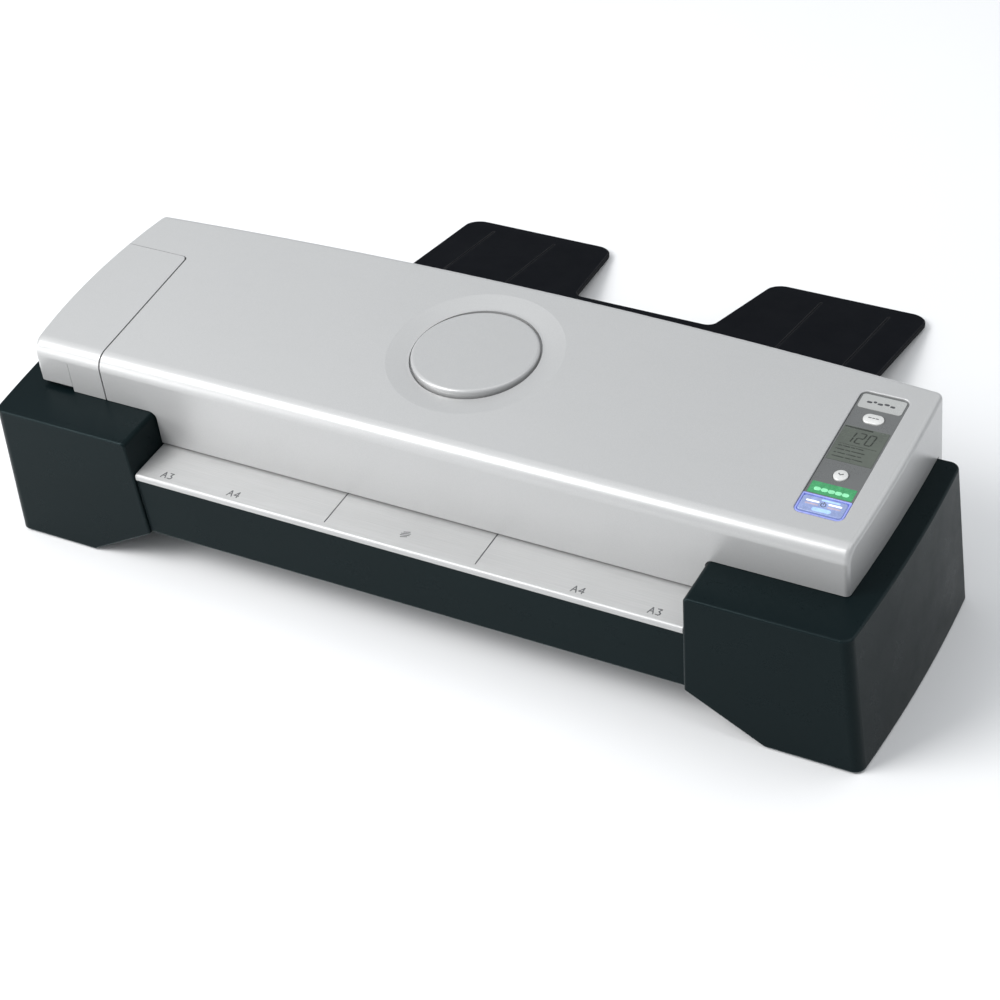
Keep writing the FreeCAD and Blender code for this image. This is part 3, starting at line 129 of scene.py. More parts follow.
class Recipe:
    """A material's node tree, with short calls for the nodes that these materials share."""

    def __init__(self, name):
        self.material = bpy.data.materials.new(name)
        self.material.use_nodes = True
        self.tree = self.material.node_tree
        self.tree.nodes.clear()
        self.shader = self.node("ShaderNodeBsdfPrincipled")
        end = self.node("ShaderNodeOutputMaterial")
        self.link(self.shader.outputs["BSDF"], end.inputs["Surface"])
        self.where = self.node("ShaderNodeTexCoord").outputs["Object"]

    def node(self, kind, **settings):
        made = self.tree.nodes.new(kind)
        for key, value in settings.items():
            setattr(made, key, value)
        return made

    def link(self, source, target):
        self.tree.links.new(source, target)

    def fixed(self, **values):
        """Sets the shader's own sockets to plain values."""
        for key, value in values.items():
            self.shader.inputs[key.replace("_", " ")].default_value = value

    def stretched(self, scale):
        mapping = self.node("ShaderNodeMapping")
        mapping.inputs["Scale"].default_value = scale
        self.link(self.where, mapping.inputs["Vector"])
        return mapping.outputs["Vector"]

    def noise(self, scale, detail=2.0, rough=0.5, stretch=(1, 1, 1)):
        made = self.node("ShaderNodeTexNoise")
        made.inputs["Scale"].default_value = scale
        made.inputs["Detail"].default_value = detail
        made.inputs["Roughness"].default_value = rough
        self.link(self.stretched(stretch), made.inputs["Vector"])
        return made.outputs["Fac"]

    def cells(self, scale):
        made = self.node("ShaderNodeTexVoronoi", feature="F1")
        made.inputs["Scale"].default_value = scale
        self.link(self.where, made.inputs["Vector"])
        return made.outputs["Distance"]

    def ranged(self, value, low, high, new_low, new_high):
        made = self.node("ShaderNodeMapRange")
        for key, number in (("From Min", low), ("From Max", high), ("To Min", new_low), ("To Max", new_high)):
            made.inputs[key].default_value = number
        self.link(value, made.inputs["Value"])
        return made.outputs["Result"]

    def maths(self, operation, a, b):
        made = self.node("ShaderNodeMath", operation=operation)
        for socket, value in zip(made.inputs, (a, b)):
            if isinstance(value, (int, float)):
                socket.default_value = value
            else:
                self.link(value, socket)
        return made.outputs["Value"]

    def blended(self, share, a, b):
        """A colour between two others. Each is a socket or a plain colour."""
        made = self.node("ShaderNodeMix", data_type="RGBA")
        self.link(share, made.inputs["Factor"])
        for socket, value in ((made.inputs[6], a), (made.inputs[7], b)):
            if isinstance(value, tuple):
                socket.default_value = (*value, 1)
            else:
                self.link(value, socket)
        return made.outputs[2]

    def bumped(self, height, distance, strength=1.0, under=None):
        made = self.node("ShaderNodeBump")
        made.inputs["Strength"].default_value = strength
        made.inputs["Distance"].default_value = distance
        self.link(height, made.inputs["Height"])
        if under is not None:
            self.link(under, made.inputs["Normal"])
        return made.outputs["Normal"]

    def edge(self, radius):
        """1 on sharp convex and concave edges, 0 on the flats and on wide fillets."""
        bevel = self.node("ShaderNodeBevel", samples=4)
        bevel.inputs["Radius"].default_value = radius
        normal = self.node("ShaderNodeNewGeometry").outputs["Normal"]
        dot = self.node("ShaderNodeVectorMath", operation="DOT_PRODUCT")
        self.link(bevel.outputs["Normal"], dot.inputs[0])
        self.link(normal, dot.inputs[1])
        return self.ranged(dot.outputs["Value"], FLAT_DOT, EDGE_DOT, 0.0, 1.0)

    def finish(self, color, roughness, normal):
        self.link(color, self.shader.inputs["Base Color"])
        self.link(roughness, self.shader.inputs["Roughness"])
        self.link(normal, self.shader.inputs["Normal"])
        return self.material


def shade(color, factor):
    return tuple(min(1.0, c * factor) for c in color)


def paled(color, grey, share):
    """A colour moved part of the way to a grey."""
    return tuple(c + (grey - c) * share for c in color)


MOTTLE = 0.06           # how far moulded plastic's tone wanders


def plastic(name, color, roughness, grain=0.7, depth=0.02, edge_lightening=0.25, coat=0.0, gloss=0.5, polish=None,
            tint=None):
    """Moulded plastic: fine texture grain (its size and depth in mm), faint flow mottle, and edges lightened
    partly as rubbing wear and partly as a painted highlight.

    The edges can be shinier than the grained faces: polish is their specular level.
    """
    made = Recipe(name)
    made.fixed(Coat_Weight=coat, Coat_Roughness=0.07, Specular_IOR_Level=gloss)
    edge = made.edge(0.9 * MM)
    if polish:
        made.link(made.ranged(edge, 0.0, 1.0, gloss, polish), made.shader.inputs["Specular IOR Level"])
    if tint:
        made.fixed(Specular_Tint=(*tint, 1))
    flow = made.noise(14.0, 3.0, stretch=(1.0, 2.2, 2.2))
    texture = made.noise(1.0 / (grain * MM), 2.0, 0.6)
    smudge = made.noise(38.0, 4.0, 0.62)
    tone = made.blended(made.ranged(flow, 0.3, 0.7, 0, 1), shade(color, 1 - MOTTLE), shade(color, 1 + MOTTLE))
    speck = made.ranged(texture, 0.35, 0.65, 0.0, 0.35)
    tone = made.blended(speck, tone, shade(color, 1 + MOTTLE * 1.6))
    # Lighter edges: partly rubbing wear, partly a painted highlight along the edge fillets.
    rubbed_and_highlit_edges = made.maths("MULTIPLY", edge, made.ranged(smudge, 0.4, 0.65, 0.15, edge_lightening))
    tone = made.blended(rubbed_and_highlit_edges, tone, paled(color, 0.45, 0.35))
    rough = made.maths("ADD", made.ranged(smudge, 0.3, 0.7, roughness - 0.05, roughness + 0.06),
                       made.ranged(texture, 0.3, 0.7, -0.02, 0.03))
    normal = made.bumped(texture, depth * MM)
    normal = made.bumped(flow, 0.05 * MM, 0.4, normal)
    return made.finish(tone, rough, normal)


def silver_paint(name, color):
    """Pearl silver lacquer over moulded plastic: tiny flakes, a slight orange peel, a clear coat."""
    made = Recipe(name)
    made.fixed(Metallic=0.18, Coat_Weight=0.90, Coat_Roughness=0.33, Coat_IOR=1.5)
    flakes = made.cells(1.0 / (0.45 * MM))
    peel = made.noise(1.0 / (1.6 * MM), 2.0, 0.5)
    cloud = made.noise(9.0, 3.0, 0.5)
    handling = made.noise(31.0, 5.0, 0.68, stretch=(1.0, 1.6, 1.0))
    tone = made.blended(made.ranged(cloud, 0.3, 0.7, 0, 1), shade(color, 0.992), shade(color, 1.008))
    tone = made.blended(made.ranged(flakes, 0.1, 0.55, 0.55, 0.0), tone, shade(color, 1.22))
    tone = made.blended(made.maths("MULTIPLY", made.edge(0.8 * MM), 0.15), tone, shade(color, 1.15))
    rough = made.maths("ADD", made.ranged(handling, 0.35, 0.7, 0.29, 0.33),
                       made.ranged(flakes, 0.0, 0.6, -0.05, 0.03))
    normal = made.bumped(flakes, 0.006 * MM, 0.8)
    normal = made.bumped(peel, 0.012 * MM, 0.8, normal)
    return made.finish(tone, rough, normal)


def brushed(name, color, roughness, along=(1.0, 60.0, 60.0), depth=0.012, edge_lightening=0.5, metal=1.0):
    """Metal or foil brushed along one axis, with a few longer scratches and duller patches."""
    made = Recipe(name)
    made.fixed(Metallic=metal, Anisotropic=0.5)
    fine = made.noise(26.0, 6.0, 0.7, stretch=along)
    streak = made.noise(9.0, 3.0, 0.6, stretch=along)
    patch = made.noise(17.0, 4.0, 0.6)
    tone = made.blended(made.ranged(fine, 0.3, 0.7, 0, 1), shade(color, 0.90), shade(color, 1.07))
    tone = made.blended(made.ranged(patch, 0.55, 0.8, 0.0, 0.25), tone, shade(color, 0.85))
    tone = made.blended(made.maths("MULTIPLY", made.edge(0.5 * MM), edge_lightening), tone, shade(color, 1.2))
    rough = made.maths("ADD", made.ranged(streak, 0.3, 0.7, roughness - 0.06, roughness + 0.06),
                       made.ranged(patch, 0.4, 0.8, 0.0, 0.08))
    return made.finish(tone, rough, made.bumped(fine, depth * MM))


def rubber(name, color, roughness=0.75, grind=(1.0, 1.0, 1.0)):
    """Matt rubber: a ground or moulded grain, bloom in patches."""
    made = Recipe(name)
    made.fixed(Specular_IOR_Level=0.35, Sheen_Weight=0.08)
    grain = made.noise(900.0, 3.0, 0.6, stretch=grind)
    bloom = made.noise(45.0, 4.0, 0.6)
    tone = made.blended(made.ranged(bloom, 0.4, 0.75, 0, 0.5), color, paled(color, 0.3, 0.15))
    tone = made.blended(made.ranged(grain, 0.3, 0.7, 0, 0.4), tone, shade(color, 0.8))
    rough = made.ranged(bloom, 0.3, 0.7, roughness - 0.08, roughness + 0.1)
    return made.finish(tone, rough, made.bumped(grain, 0.04 * MM))


def lit(name, color, glow, strength):
    """A clear moulding lit from behind, with faint hazy streaks and a little dust."""
    made = Recipe(name)
    made.fixed(Emission_Strength=strength, Coat_Weight=0.5, Coat_Roughness=0.05)
    haze = made.noise(260.0, 3.0, 0.6, stretch=(1.0, 0.5, 1.0))
    dust = made.noise(900.0, 2.0, 0.5)
    level = made.ranged(haze, 0.3, 0.7, 0.0, 1.0)
    made.link(made.blended(level, shade(glow, 0.7), shade(glow, 1.15)), made.shader.inputs["Emission Color"])
    tone = made.blended(level, shade(color, 0.85), shade(color, 1.1))
    rough = made.ranged(dust, 0.3, 0.7, 0.20, 0.33)
    return made.finish(tone, rough, made.bumped(dust, 0.01 * MM))


def lcd_window(name, color):
    """A reflective display: faint pixel rows behind a hard coat."""
    made = Recipe(name)
    made.fixed(Coat_Weight=0.7, Coat_Roughness=0.04)
    rows = made.node("ShaderNodeTexWave", bands_direction="Y")
    rows.inputs["Scale"].default_value = 420.0
    made.link(made.where, rows.inputs["Vector"])
    cloud = made.noise(120.0, 3.0, 0.6)
    tone = made.blended(made.ranged(cloud, 0.3, 0.7, 0, 1), shade(color, 0.88), shade(color, 1.1))
    tone = made.blended(made.ranged(rows.outputs["Fac"], 0, 1, 0.0, 0.18), tone, shade(color, 0.7))
    rough = made.ranged(cloud, 0.3, 0.7, 0.24, 0.34)
    return made.finish(tone, rough, made.bumped(rows.outputs["Fac"], 0.01 * MM))


def circuit_board(name, color):
    """Solder mask over copper tracks, with a plated grid of pads."""
    made = Recipe(name)
    made.fixed(Coat_Weight=0.4, Coat_Roughness=0.2)
    tracks = made.node("ShaderNodeTexBrick")
    tracks.inputs["Scale"].default_value = 160.0
    tracks.inputs["Mortar Size"].default_value = 0.06
    tracks.inputs["Color1"].default_value = (0, 0, 0, 1)
    tracks.inputs["Color2"].default_value = (0.2, 0.2, 0.2, 1)
    tracks.inputs["Mortar"].default_value = (1, 1, 1, 1)
    made.link(made.stretched((1.0, 0.7, 1.0)), tracks.inputs["Vector"])
    line = tracks.outputs["Fac"]
    cloud = made.noise(60.0, 3.0)
    pads = made.ranged(made.cells(320.0), 0.10, 0.14, 0.5, 0.0)
    tone = made.blended(line, color, shade(color, 1.7))
    tone = made.blended(pads, tone, (0.62, 0.60, 0.52))
    rough = made.ranged(cloud, 0.3, 0.7, 0.32, 0.48)
    return made.finish(tone, rough, made.bumped(line, 0.03 * MM))


def ink(name, color, roughness=0.5):
    """Printed ink, a little uneven and worn through in pinholes."""
    made = Recipe(name)
    made.fixed(Specular_IOR_Level=0.4)
    worn = made.noise(2600.0, 3.0, 0.7)
    broad = made.noise(300.0, 3.0, 0.6)
    tone = made.blended(made.ranged(worn, 0.55, 0.75, 0.0, 0.5), color, paled(color, 0.6, 0.4))
    rough = made.ranged(broad, 0.3, 0.7, roughness - 0.08, roughness + 0.08)
    return made.finish(tone, rough, made.bumped(worn, 0.01 * MM))


FINISHES = {
    "cover_plastic": silver_paint("pearl_silver", (0.385, 0.385, 0.383)),
    "housing_plastic": plastic("slate_plastic", (0.0030, 0.0066, 0.0076), 0.30, grain=0.55, depth=0.012,
                               gloss=0.08, polish=1.0, tint=(0.72, 0.97, 1.0)),
    "tray_plastic": plastic("tray_plastic", (0.0026, 0.0032, 0.0048), 0.50, grain=0.8, depth=0.016,
                            gloss=0.02),
    "shelf_metal": brushed("brushed_shelf", (0.44, 0.44, 0.437), 0.42, along=(1.0, 90.0, 60.0), edge_lightening=0.0,
                           metal=0.35),
    "panel_plastic": plastic("panel_plastic", (0.100, 0.103, 0.102), 0.28, grain=0.4, depth=0.004, coat=0.5),
    "lcd_glass": lcd_window("display", (0.070, 0.081, 0.065)),
    "label_finish": plastic("label_lacquer", (0.33, 0.333, 0.325), 0.22, grain=0.5, depth=0.003, coat=0.6),
    "ready_green": lit("green_lens", (0.025, 0.15, 0.06), (0.05, 0.46, 0.15), 0.36),
    "rocker_blue": lit("blue_rocker", (0.20, 0.24, 0.37), (0.18, 0.28, 0.78), 0.26),
    "rocker_frame_plastic": lit("clear_frame", (0.22, 0.25, 0.50), (0.13, 0.17, 0.62), 0.42),
    "button_silver": silver_paint("button_silver", (0.56, 0.56, 0.545)),
    "foot_rubber": rubber("foot_rubber", (0.020, 0.020, 0.021)),
    "pan_steel": plastic("powder_coat", (0.020, 0.022, 0.024), 0.55, grain=0.9, depth=0.05, edge_lightening=0.5),
    "frame_steel": brushed("zinc_steel", (0.55, 0.56, 0.57), 0.34, along=(1.0, 8.0, 8.0)),
    "bush_polymer": plastic("bush_polymer", (0.060, 0.042, 0.028), 0.5, grain=0.5),
    "gear_nylon": plastic("natural_nylon", (0.70, 0.68, 0.60), 0.45, grain=0.4, depth=0.01),
    "roller_silicone": rubber("silicone_rubber", (0.33, 0.065, 0.035), 0.7, grind=(1.0, 3.0, 3.0)),
    "heater_aluminium": brushed("heater_aluminium", (0.62, 0.62, 0.61), 0.42, along=(1.0, 40.0, 40.0),
                                depth=0.02, edge_lightening=0.3),
    "heating_mat_silicone": rubber("heating_mat", (0.40, 0.16, 0.06), 0.65),
    "sensor_parts": plastic("sensor_phenolic", (0.10, 0.085, 0.07), 0.5, grain=0.4),
    "motor_metal": brushed("motor_can", (0.42, 0.43, 0.44), 0.38, along=(20.0, 1.0, 1.0)),
    "board_green": circuit_board("solder_mask", (0.012, 0.085, 0.035)),
    "board_parts": plastic("component_bodies", (0.030, 0.032, 0.036), 0.4, grain=0.5),
    "inlet_plastic": plastic("inlet_plastic", (0.010, 0.010, 0.011), 0.42, grain=0.6),
    "contact_brass": brushed("plated_brass", (0.72, 0.60, 0.32), 0.28, along=(8.0, 1.0, 8.0)),
}
DARK_INK = ink("dark_ink", (0.045, 0.046, 0.05))
GREY_INK = ink("grey_ink", (0.11, 0.112, 0.115))
LCD_INK = ink("display_segments", (0.014, 0.018, 0.013), 0.35)
WHITE_GLOW = lit("white_glow", (0.70, 0.70, 0.72), (0.80, 0.84, 1.0), 0.35)
SKY_GLOW = lit("pale_blue_glow", (0.28, 0.42, 0.75), (0.26, 0.44, 1.0), 0.45)
GREEN_GLOW = lit("green_glow", (0.20, 0.50, 0.30), (0.20, 0.85, 0.38), 0.30)
MAUVE = lit("mauve_bar", (0.34, 0.28, 0.34), (0.40, 0.32, 0.45), 0.20)


def dress_nodes():
    """Gives every CAD node the finish of its slot in the record."""
    for node in NODES.values():
        slot = node.data.materials[0].name
        node.data.materials.clear()
        node.data.materials.append(FINISHES[slot])


dress_nodes()

# ---------------------------------------------------------------- places on the sloping top

press = next(j for j in frame["joints"] if j["name"] == "mode_button_press")
ACROSS = Vector((1, 0, 0))
UP = -Vector(press["axis"])
ALONG = UP.cross(ACROSS)


def span(node, direction):
    """How far a CAD node reaches along a direction: its lowest and highest value."""
    reach = [v.co.dot(direction) for v in NODES[node].data.vertices]
    return min(reach), max(reach)


def on_top(across, along, up):
    return ACROSS * across + ALONG * along + UP * up


def flat(across, along, up):
    return Vector((across, along, up))


def middle(pair):
    return (pair[0] + pair[1]) / 2


def half(pair):
    return (pair[1] - pair[0]) / 2


PRINT = 0.08 * MM        # how far ink stands above its surface
PRINT_ROOT = 0.1 * MM    # and how far it reaches below it
SHARP_ANGLE = math.radians(40)
CORNER_STEPS = 8         # sides of a round corner
SIDE_PARTS = 4           # parts of each side of a divided outline
STROKE_STEPS = 6         # sides of a stroke's round end
RING_POINTS = 48         # points of a whole circle


# ---------------------------------------------------------------- mesh helpers

def piece(name, bm, material, body):
    bmesh.ops.recalc_face_normals(bm, faces=bm.faces)
    mesh = bpy.data.meshes.new(name)
    bm.to_mesh(mesh)
    bm.free()
    mesh.materials.append(material)
    mesh.polygons.foreach_set("use_smooth", [True] * len(mesh.polygons))
    mesh.set_sharp_from_angle(angle=SHARP_ANGLE)
    made = bpy.data.objects.new(name, mesh)
    bpy.context.scene.collection.objects.link(made)
    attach(made, body)
    return made


def rounded_outline(middle_a, middle_b, half_a, half_b, radius, inset, rear_radius=None):
    """A rectangle with round corners, moved in by inset, as (a, b) points. The rear corners may differ."""
    points = []
    for quarter, (side_a, side_b) in enumerate(((1, 1), (-1, 1), (-1, -1), (1, -1))):
        round_off = rear_radius if rear_radius is not None and side_b > 0 else radius
        corner = max(round_off - inset, 0.02 * MM)
        shrink = max(inset - round_off, 0.0)
        centre_a = middle_a + side_a * max(half_a - round_off - shrink, 0.0)
        centre_b = middle_b + side_b * max(half_b - round_off - shrink, 0.0)
        for n in range(CORNER_STEPS + 1):
            turn = math.radians(90 * quarter + 90 * n / CORNER_STEPS)
            points.append((centre_a + corner * math.cos(turn), centre_b + corner * math.sin(turn)))
    return points


def divided(outline):
    """The same outline with every side cut into equal parts."""
    points = []
    for (a0, b0), (a1, b1) in zip(outline, outline[1:] + outline[:1]):
        points += [(a0 + (a1 - a0) * n / SIDE_PARTS, b0 + (b1 - b0) * n / SIDE_PARTS)
                   for n in range(SIDE_PARTS)]
    return points


def loft(bm, rings):
    """Joins rings of equal count with quads and closes both ends with fans."""
    rows = [[bm.verts.new(p) for p in ring] for ring in rings]
    for low, high in zip(rows, rows[1:]):
        for n in range(len(low)):
            following = (n + 1) % len(low)
            bm.faces.new((low[n], low[following], high[following], high[n]))
    for row in (rows[0], rows[-1]):
        centre = bm.verts.new(sum((v.co for v in row), Vector()) / len(row))
        for n in range(len(row)):
            bm.faces.new((row[n], row[(n + 1) % len(row)], centre))


def strip(bm, to_world, start, end, width, low, high):
    """A raised stroke between two points of a plane, with round ends and a softened upper edge."""
    a = Vector(start)
    b = Vector(end)
    way = (b - a).normalized() if (b - a).length > 1e-9 else Vector((1, 0))
    turn = math.atan2(way.y, way.x)
    edge = min(width * 0.2, (high - low) * 0.6)
    rings = []
    for radius, level in ((width / 2, low), (width / 2, high - edge), (width / 2 - edge, high)):
        ring = []
        for centre, base in ((b, turn - math.pi / 2), (a, turn + math.pi / 2)):
            for n in range(STROKE_STEPS + 1):
                angle = base + math.pi * n / STROKE_STEPS
                point = centre + radius * Vector((math.cos(angle), math.sin(angle)))
                ring.append(to_world(point.x, point.y, level))
        rings.append(ring)
    loft(bm, rings)


# ---------------------------------------------------------------- push buttons

BUTTON_RIM = 0.75 * MM
BUTTON_CROWN = 0.35 * MM
BUTTON_SKIRT = 3.0 * MM
STEM_RADIUS = 1.6 * MM
RIM_STEPS = 6
CROWN_STEPS = 8


def domed_button(name, node):
    """A button cap with a crowned top and a rolled rim, over a plain stem."""
    across, along, up = span(node, ACROSS), span(node, ALONG), span(node, UP)
    top = up[1]
    half_a, half_b = half(across), half(along)
    radius = min(half_a, half_b)
    levels = [(0.0, top - BUTTON_SKIRT)]
    for n in range(RIM_STEPS + 1):
        turn = math.radians(90 * n / RIM_STEPS)
        levels.append((BUTTON_RIM * (1 - math.cos(turn)),
                       top - BUTTON_CROWN - BUTTON_RIM * (1 - math.sin(turn))))
    crown_width = radius - BUTTON_RIM
    for n in range(1, CROWN_STEPS):
        inset = BUTTON_RIM + crown_width * n / CROWN_STEPS
        levels.append((inset, top - BUTTON_CROWN * ((radius - inset) / crown_width) ** 2))
    bm = bmesh.new()
    rings = []
    for inset, level in levels:
        outline = rounded_outline(middle(across), middle(along), half_a, half_b, radius, inset)
        rings.append([on_top(a, b, level) for a, b in outline])
    loft(bm, rings)
    stem = [[on_top(a, b, level) for a, b in
             rounded_outline(middle(across), middle(along), STEM_RADIUS, STEM_RADIUS, STEM_RADIUS, 0.0)]
            for level in (up[0], up[0] + 0.3 * MM, top - BUTTON_SKIRT)]
    loft(bm, stem)
    made = piece(name, bm, FINISHES["button_silver"], node)
    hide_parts(node)
    return top


def button_mark(name, node, top, strokes):
    """A small printed mark on a button. A stroke is its two ends and its width in mm, from the middle."""
    across, along = middle(span(node, ACROSS)), middle(span(node, ALONG))
    bm = bmesh.new()
    for x0, y0, x1, y1, width in strokes:
        strip(bm, on_top, (across + x0 * MM, along + y0 * MM), (across + x1 * MM, along + y1 * MM),
              width * MM, top - 0.15 * MM, top + PRINT)
    piece(name, bm, DARK_INK, node)


mode_top = domed_button("oval_button_cap", "mode_button")
button_mark("oval_button_mark", "mode_button", mode_top,
            [(-2.6, 0.0, -1.2, 0.0, 0.7), (-0.4, 0.0, 0.6, 0.0, 0.7), (1.4, 0.0, 2.6, 0.0, 0.7)])
set_top = domed_button("round_button_cap", "set_button")
button_mark("round_button_mark", "set_button", set_top,
            [(-1.2, 0.5, 0.0, -0.5, 0.6), (0.0, -0.5, 1.2, 0.5, 0.6)])

# ---------------------------------------------------------------- power rocker

ROCKER_VALLEY = 0.5 * MM
ROCKER_RIM = 0.7 * MM
ROCKER_SKIRT = 3.6 * MM
ROCKER_CORNER = 1.6 * MM
FACET_RINGS = 7
BAR_ROOT = 0.2 * MM        # how far a lit bar reaches into the rocker
SYMBOL_RADIUS = 1.3 * MM
SYMBOL_WIDTH = 0.45 * MM


def rocker_paddle():
    """The lit rocker: rolled rim, and two facets that meet in a shallow valley across the middle."""
    node = "power_rocker"
    across, along, up = span(node, ACROSS), span(node, ALONG), span(node, UP)
    half_a, half_b = half(across) - 0.1 * MM, half(along) - 0.05 * MM
    ma, mb, top = middle(across), middle(along), up[1]

    def height(b, level, share):
        lean = abs(b - mb) / half_b
        return level - share * ROCKER_VALLEY * (1 - lean)

    levels = [(0.0, top - ROCKER_SKIRT, 0.0), (0.0, top - ROCKER_RIM, 0.0)]
    for n in range(1, 6):
        turn = math.radians(90 * n / 5)
        levels.append((ROCKER_RIM * (1 - math.cos(turn)), top - ROCKER_RIM * (1 - math.sin(turn)), n / 5))
    facet = (half_b - ROCKER_RIM) * 0.97
    for n in range(1, FACET_RINGS + 1):
        levels.append((ROCKER_RIM + facet * n / FACET_RINGS, top, 1.0))
    rings = []
    for inset, level, share in levels:
        outline = divided(rounded_outline(ma, mb, half_a, half_b, ROCKER_CORNER, inset))
        rings.append([on_top(a, b, height(b, level, share)) for a, b in outline])
    bm = bmesh.new()
    loft(bm, rings)
    made = piece("rocker_paddle", bm, FINISHES["rocker_blue"], "power_rocker")
    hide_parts(node)

    def valley_point(a, b, level):
        return on_top(a, b, height(b, level, 1.0))

    def bars(name, material, strokes):
        """Lit bars. Each is its start and end across, its place along and its width, in mm."""
        bm = bmesh.new()
        for start, end, b, width in strokes:
            strip(bm, valley_point, (ma + start * MM, mb + b * MM), (ma + end * MM, mb + b * MM), width * MM,
                  top - BAR_ROOT, top + PRINT)
        piece(name, bm, material, "power_rocker")

    bars("rocker_white_bars", WHITE_GLOW, [(-9.0, -2.9, 2.2, 1.3), (2.9, 9.0, 2.2, 1.3)])
    bars("rocker_mauve_bars", MAUVE, [(-9.0, -2.9, 0.3, 1.2), (2.9, 9.0, 0.3, 1.2)])
    bars("rocker_sky_bars", SKY_GLOW, [(-1.5, 7.5, 4.0, 1.2), (-3.2, 4.2, -2.9, 3.0)])
    arc = []
    for n in range(13):
        turn = math.radians(120 + 300 * n / 12)
        arc.append((ma + SYMBOL_RADIUS * math.cos(turn), mb + 1.2 * MM + SYMBOL_RADIUS * math.sin(turn)))
    bm = bmesh.new()
    for start, end in [*zip(arc, arc[1:]), ((ma, mb + 1.4 * MM), (ma, mb + 3.2 * MM))]:
        strip(bm, valley_point, start, end, SYMBOL_WIDTH, top - BAR_ROOT, top + PRINT)
    piece("rocker_power_symbol", bm, DARK_INK, "power_rocker")


rocker_paddle()


FRAME_WALL = 1.0 * MM
FRAME_ROLL = 0.35 * MM
FRAME_CORNER = 3.0 * MM
FRAME_REAR_CORNER = 0.5 * MM


def rocker_surround():
    """The clear frame around the rocker, with a rolled upper edge inside and out."""
    node = "rocker_frame"
    across, along, up = span(node, ACROSS), span(node, ALONG), span(node, UP)
    ma, mb, ha, hb, top = middle(across), middle(along), half(across), half(along), up[1]
    turns = [math.radians(30 * n) for n in range(4)]
    roll = [(FRAME_ROLL * (1 - math.cos(t)), top - FRAME_ROLL * (1 - math.sin(t))) for t in turns]
    inner = [(FRAME_WALL - inset, level) for inset, level in reversed(roll)]
    rings = []
    for inset, level in [(0.0, up[0])] + roll + inner + [(FRAME_WALL, up[0] + 1.5 * MM)]:
        outline = rounded_outline(ma, mb, ha, hb, FRAME_CORNER, inset, FRAME_REAR_CORNER)
        rings.append([on_top(a, b, level) for a, b in outline])
    bm = bmesh.new()
    loft(bm, rings)
    made = piece("rocker_surround", bm, FINISHES["rocker_frame_plastic"], "chassis")
    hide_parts(node)


rocker_surround()

# ---------------------------------------------------------------- display, ready strip and label

SEGMENTS = {"0": "abcdef", "1": "bc", "2": "abged"}
DIGIT_WIDTH = 3.4 * MM
DIGIT_HEIGHT = 7.6 * MM
DIGIT_PITCH = 5.4 * MM
SEGMENT_WIDTH = 0.85 * MM
FIRST_ROW = 15.2           # the dashes' first row and their pitch, in mm from the display's rear edge
ROW_PITCH = 2.7


def digit(bm, mark, left, low, top):
    """One seven-segment digit."""
    width, tall = DIGIT_WIDTH, DIGIT_HEIGHT
    mid = low + tall / 2
    gap = 0.14 * width
    lean = 0.12 * tall
    right = left + width
    ends = {
        "a": (left + gap + lean, low + tall, right - gap + lean, low + tall),
        "b": (right + lean, low + tall - gap, right + lean / 2, mid + gap),
        "c": (right + lean / 2, mid - gap, right, low + gap),
        "d": (left + gap, low, right - gap, low),
        "e": (left, low + gap, left + lean / 2, mid - gap),
        "f": (left + lean / 2, mid + gap, left + lean, low + tall - gap),
        "g": (left + gap + lean / 2, mid, right - gap + lean / 2, mid),
    }
    for name in SEGMENTS[mark]:
        x0, y0, x1, y1 = ends[name]
        strip(bm, on_top, (x0, y0), (x1, y1), SEGMENT_WIDTH, top - PRINT_ROOT, top + PRINT)


def display():
    """Three digits between two lines, over four rows of short dashes."""
    left, rear = span("lcd_window", ACROSS)[0], span("lcd_window", ALONG)[1]
    top = span("lcd_window", UP)[1]
    bm = bmesh.new()

    def line(start, end, down, width):
        """A line across the display: its ends and its place from the display's rear left corner, in mm."""
        b = rear - down * MM
        strip(bm, on_top, (left + start * MM, b), (left + end * MM, b), width * MM, top - PRINT_ROOT,
              top + PRINT)

    for n, mark in enumerate("120"):
        digit(bm, mark, left + 3.6 * MM + DIGIT_PITCH * n, rear - 11.4 * MM, top)
    line(1.6, 22.0, 13.6, 0.3)
    line(0.8, 15.0, 0.9, 1.0)
    rows = [(2.2, 5.0, 9.4, 12.0, 16.6), (2.2, 7.4, 10.6, 18.2), (2.2, 4.0, 8.8, 14.6, 17.4),
            (2.2, 9.2, 13.0, 19.0)]
    for row, stops in enumerate(rows):
        for start, end in zip(stops, stops[1:]):
            line(start, end - 1.1, FIRST_ROW + ROW_PITCH * row, 0.75)
    piece("display_segments", bm, LCD_INK, "chassis")


READY_COUNT = 5


def ready_bars():
    """Lit bars in the green strip."""
    across, along = span("ready_lens", ACROSS), span("ready_lens", ALONG)
    top = span("ready_lens", UP)[1]
    bm = bmesh.new()
    margin = 2.5 * MM
    half_length = 0.6 * MM
    pitch = (across[1] - across[0] - 2 * margin) / READY_COUNT
    b = middle(along) - 0.8 * MM
    for n in range(READY_COUNT):
        a = across[0] + margin + pitch * (n + 0.5)
        strip(bm, on_top, (a - half_length, b), (a + half_length, b), 2.6 * MM, top - PRINT_ROOT,
              top + 0.04 * MM)
    piece("ready_bars", bm, GREEN_GLOW, "chassis")


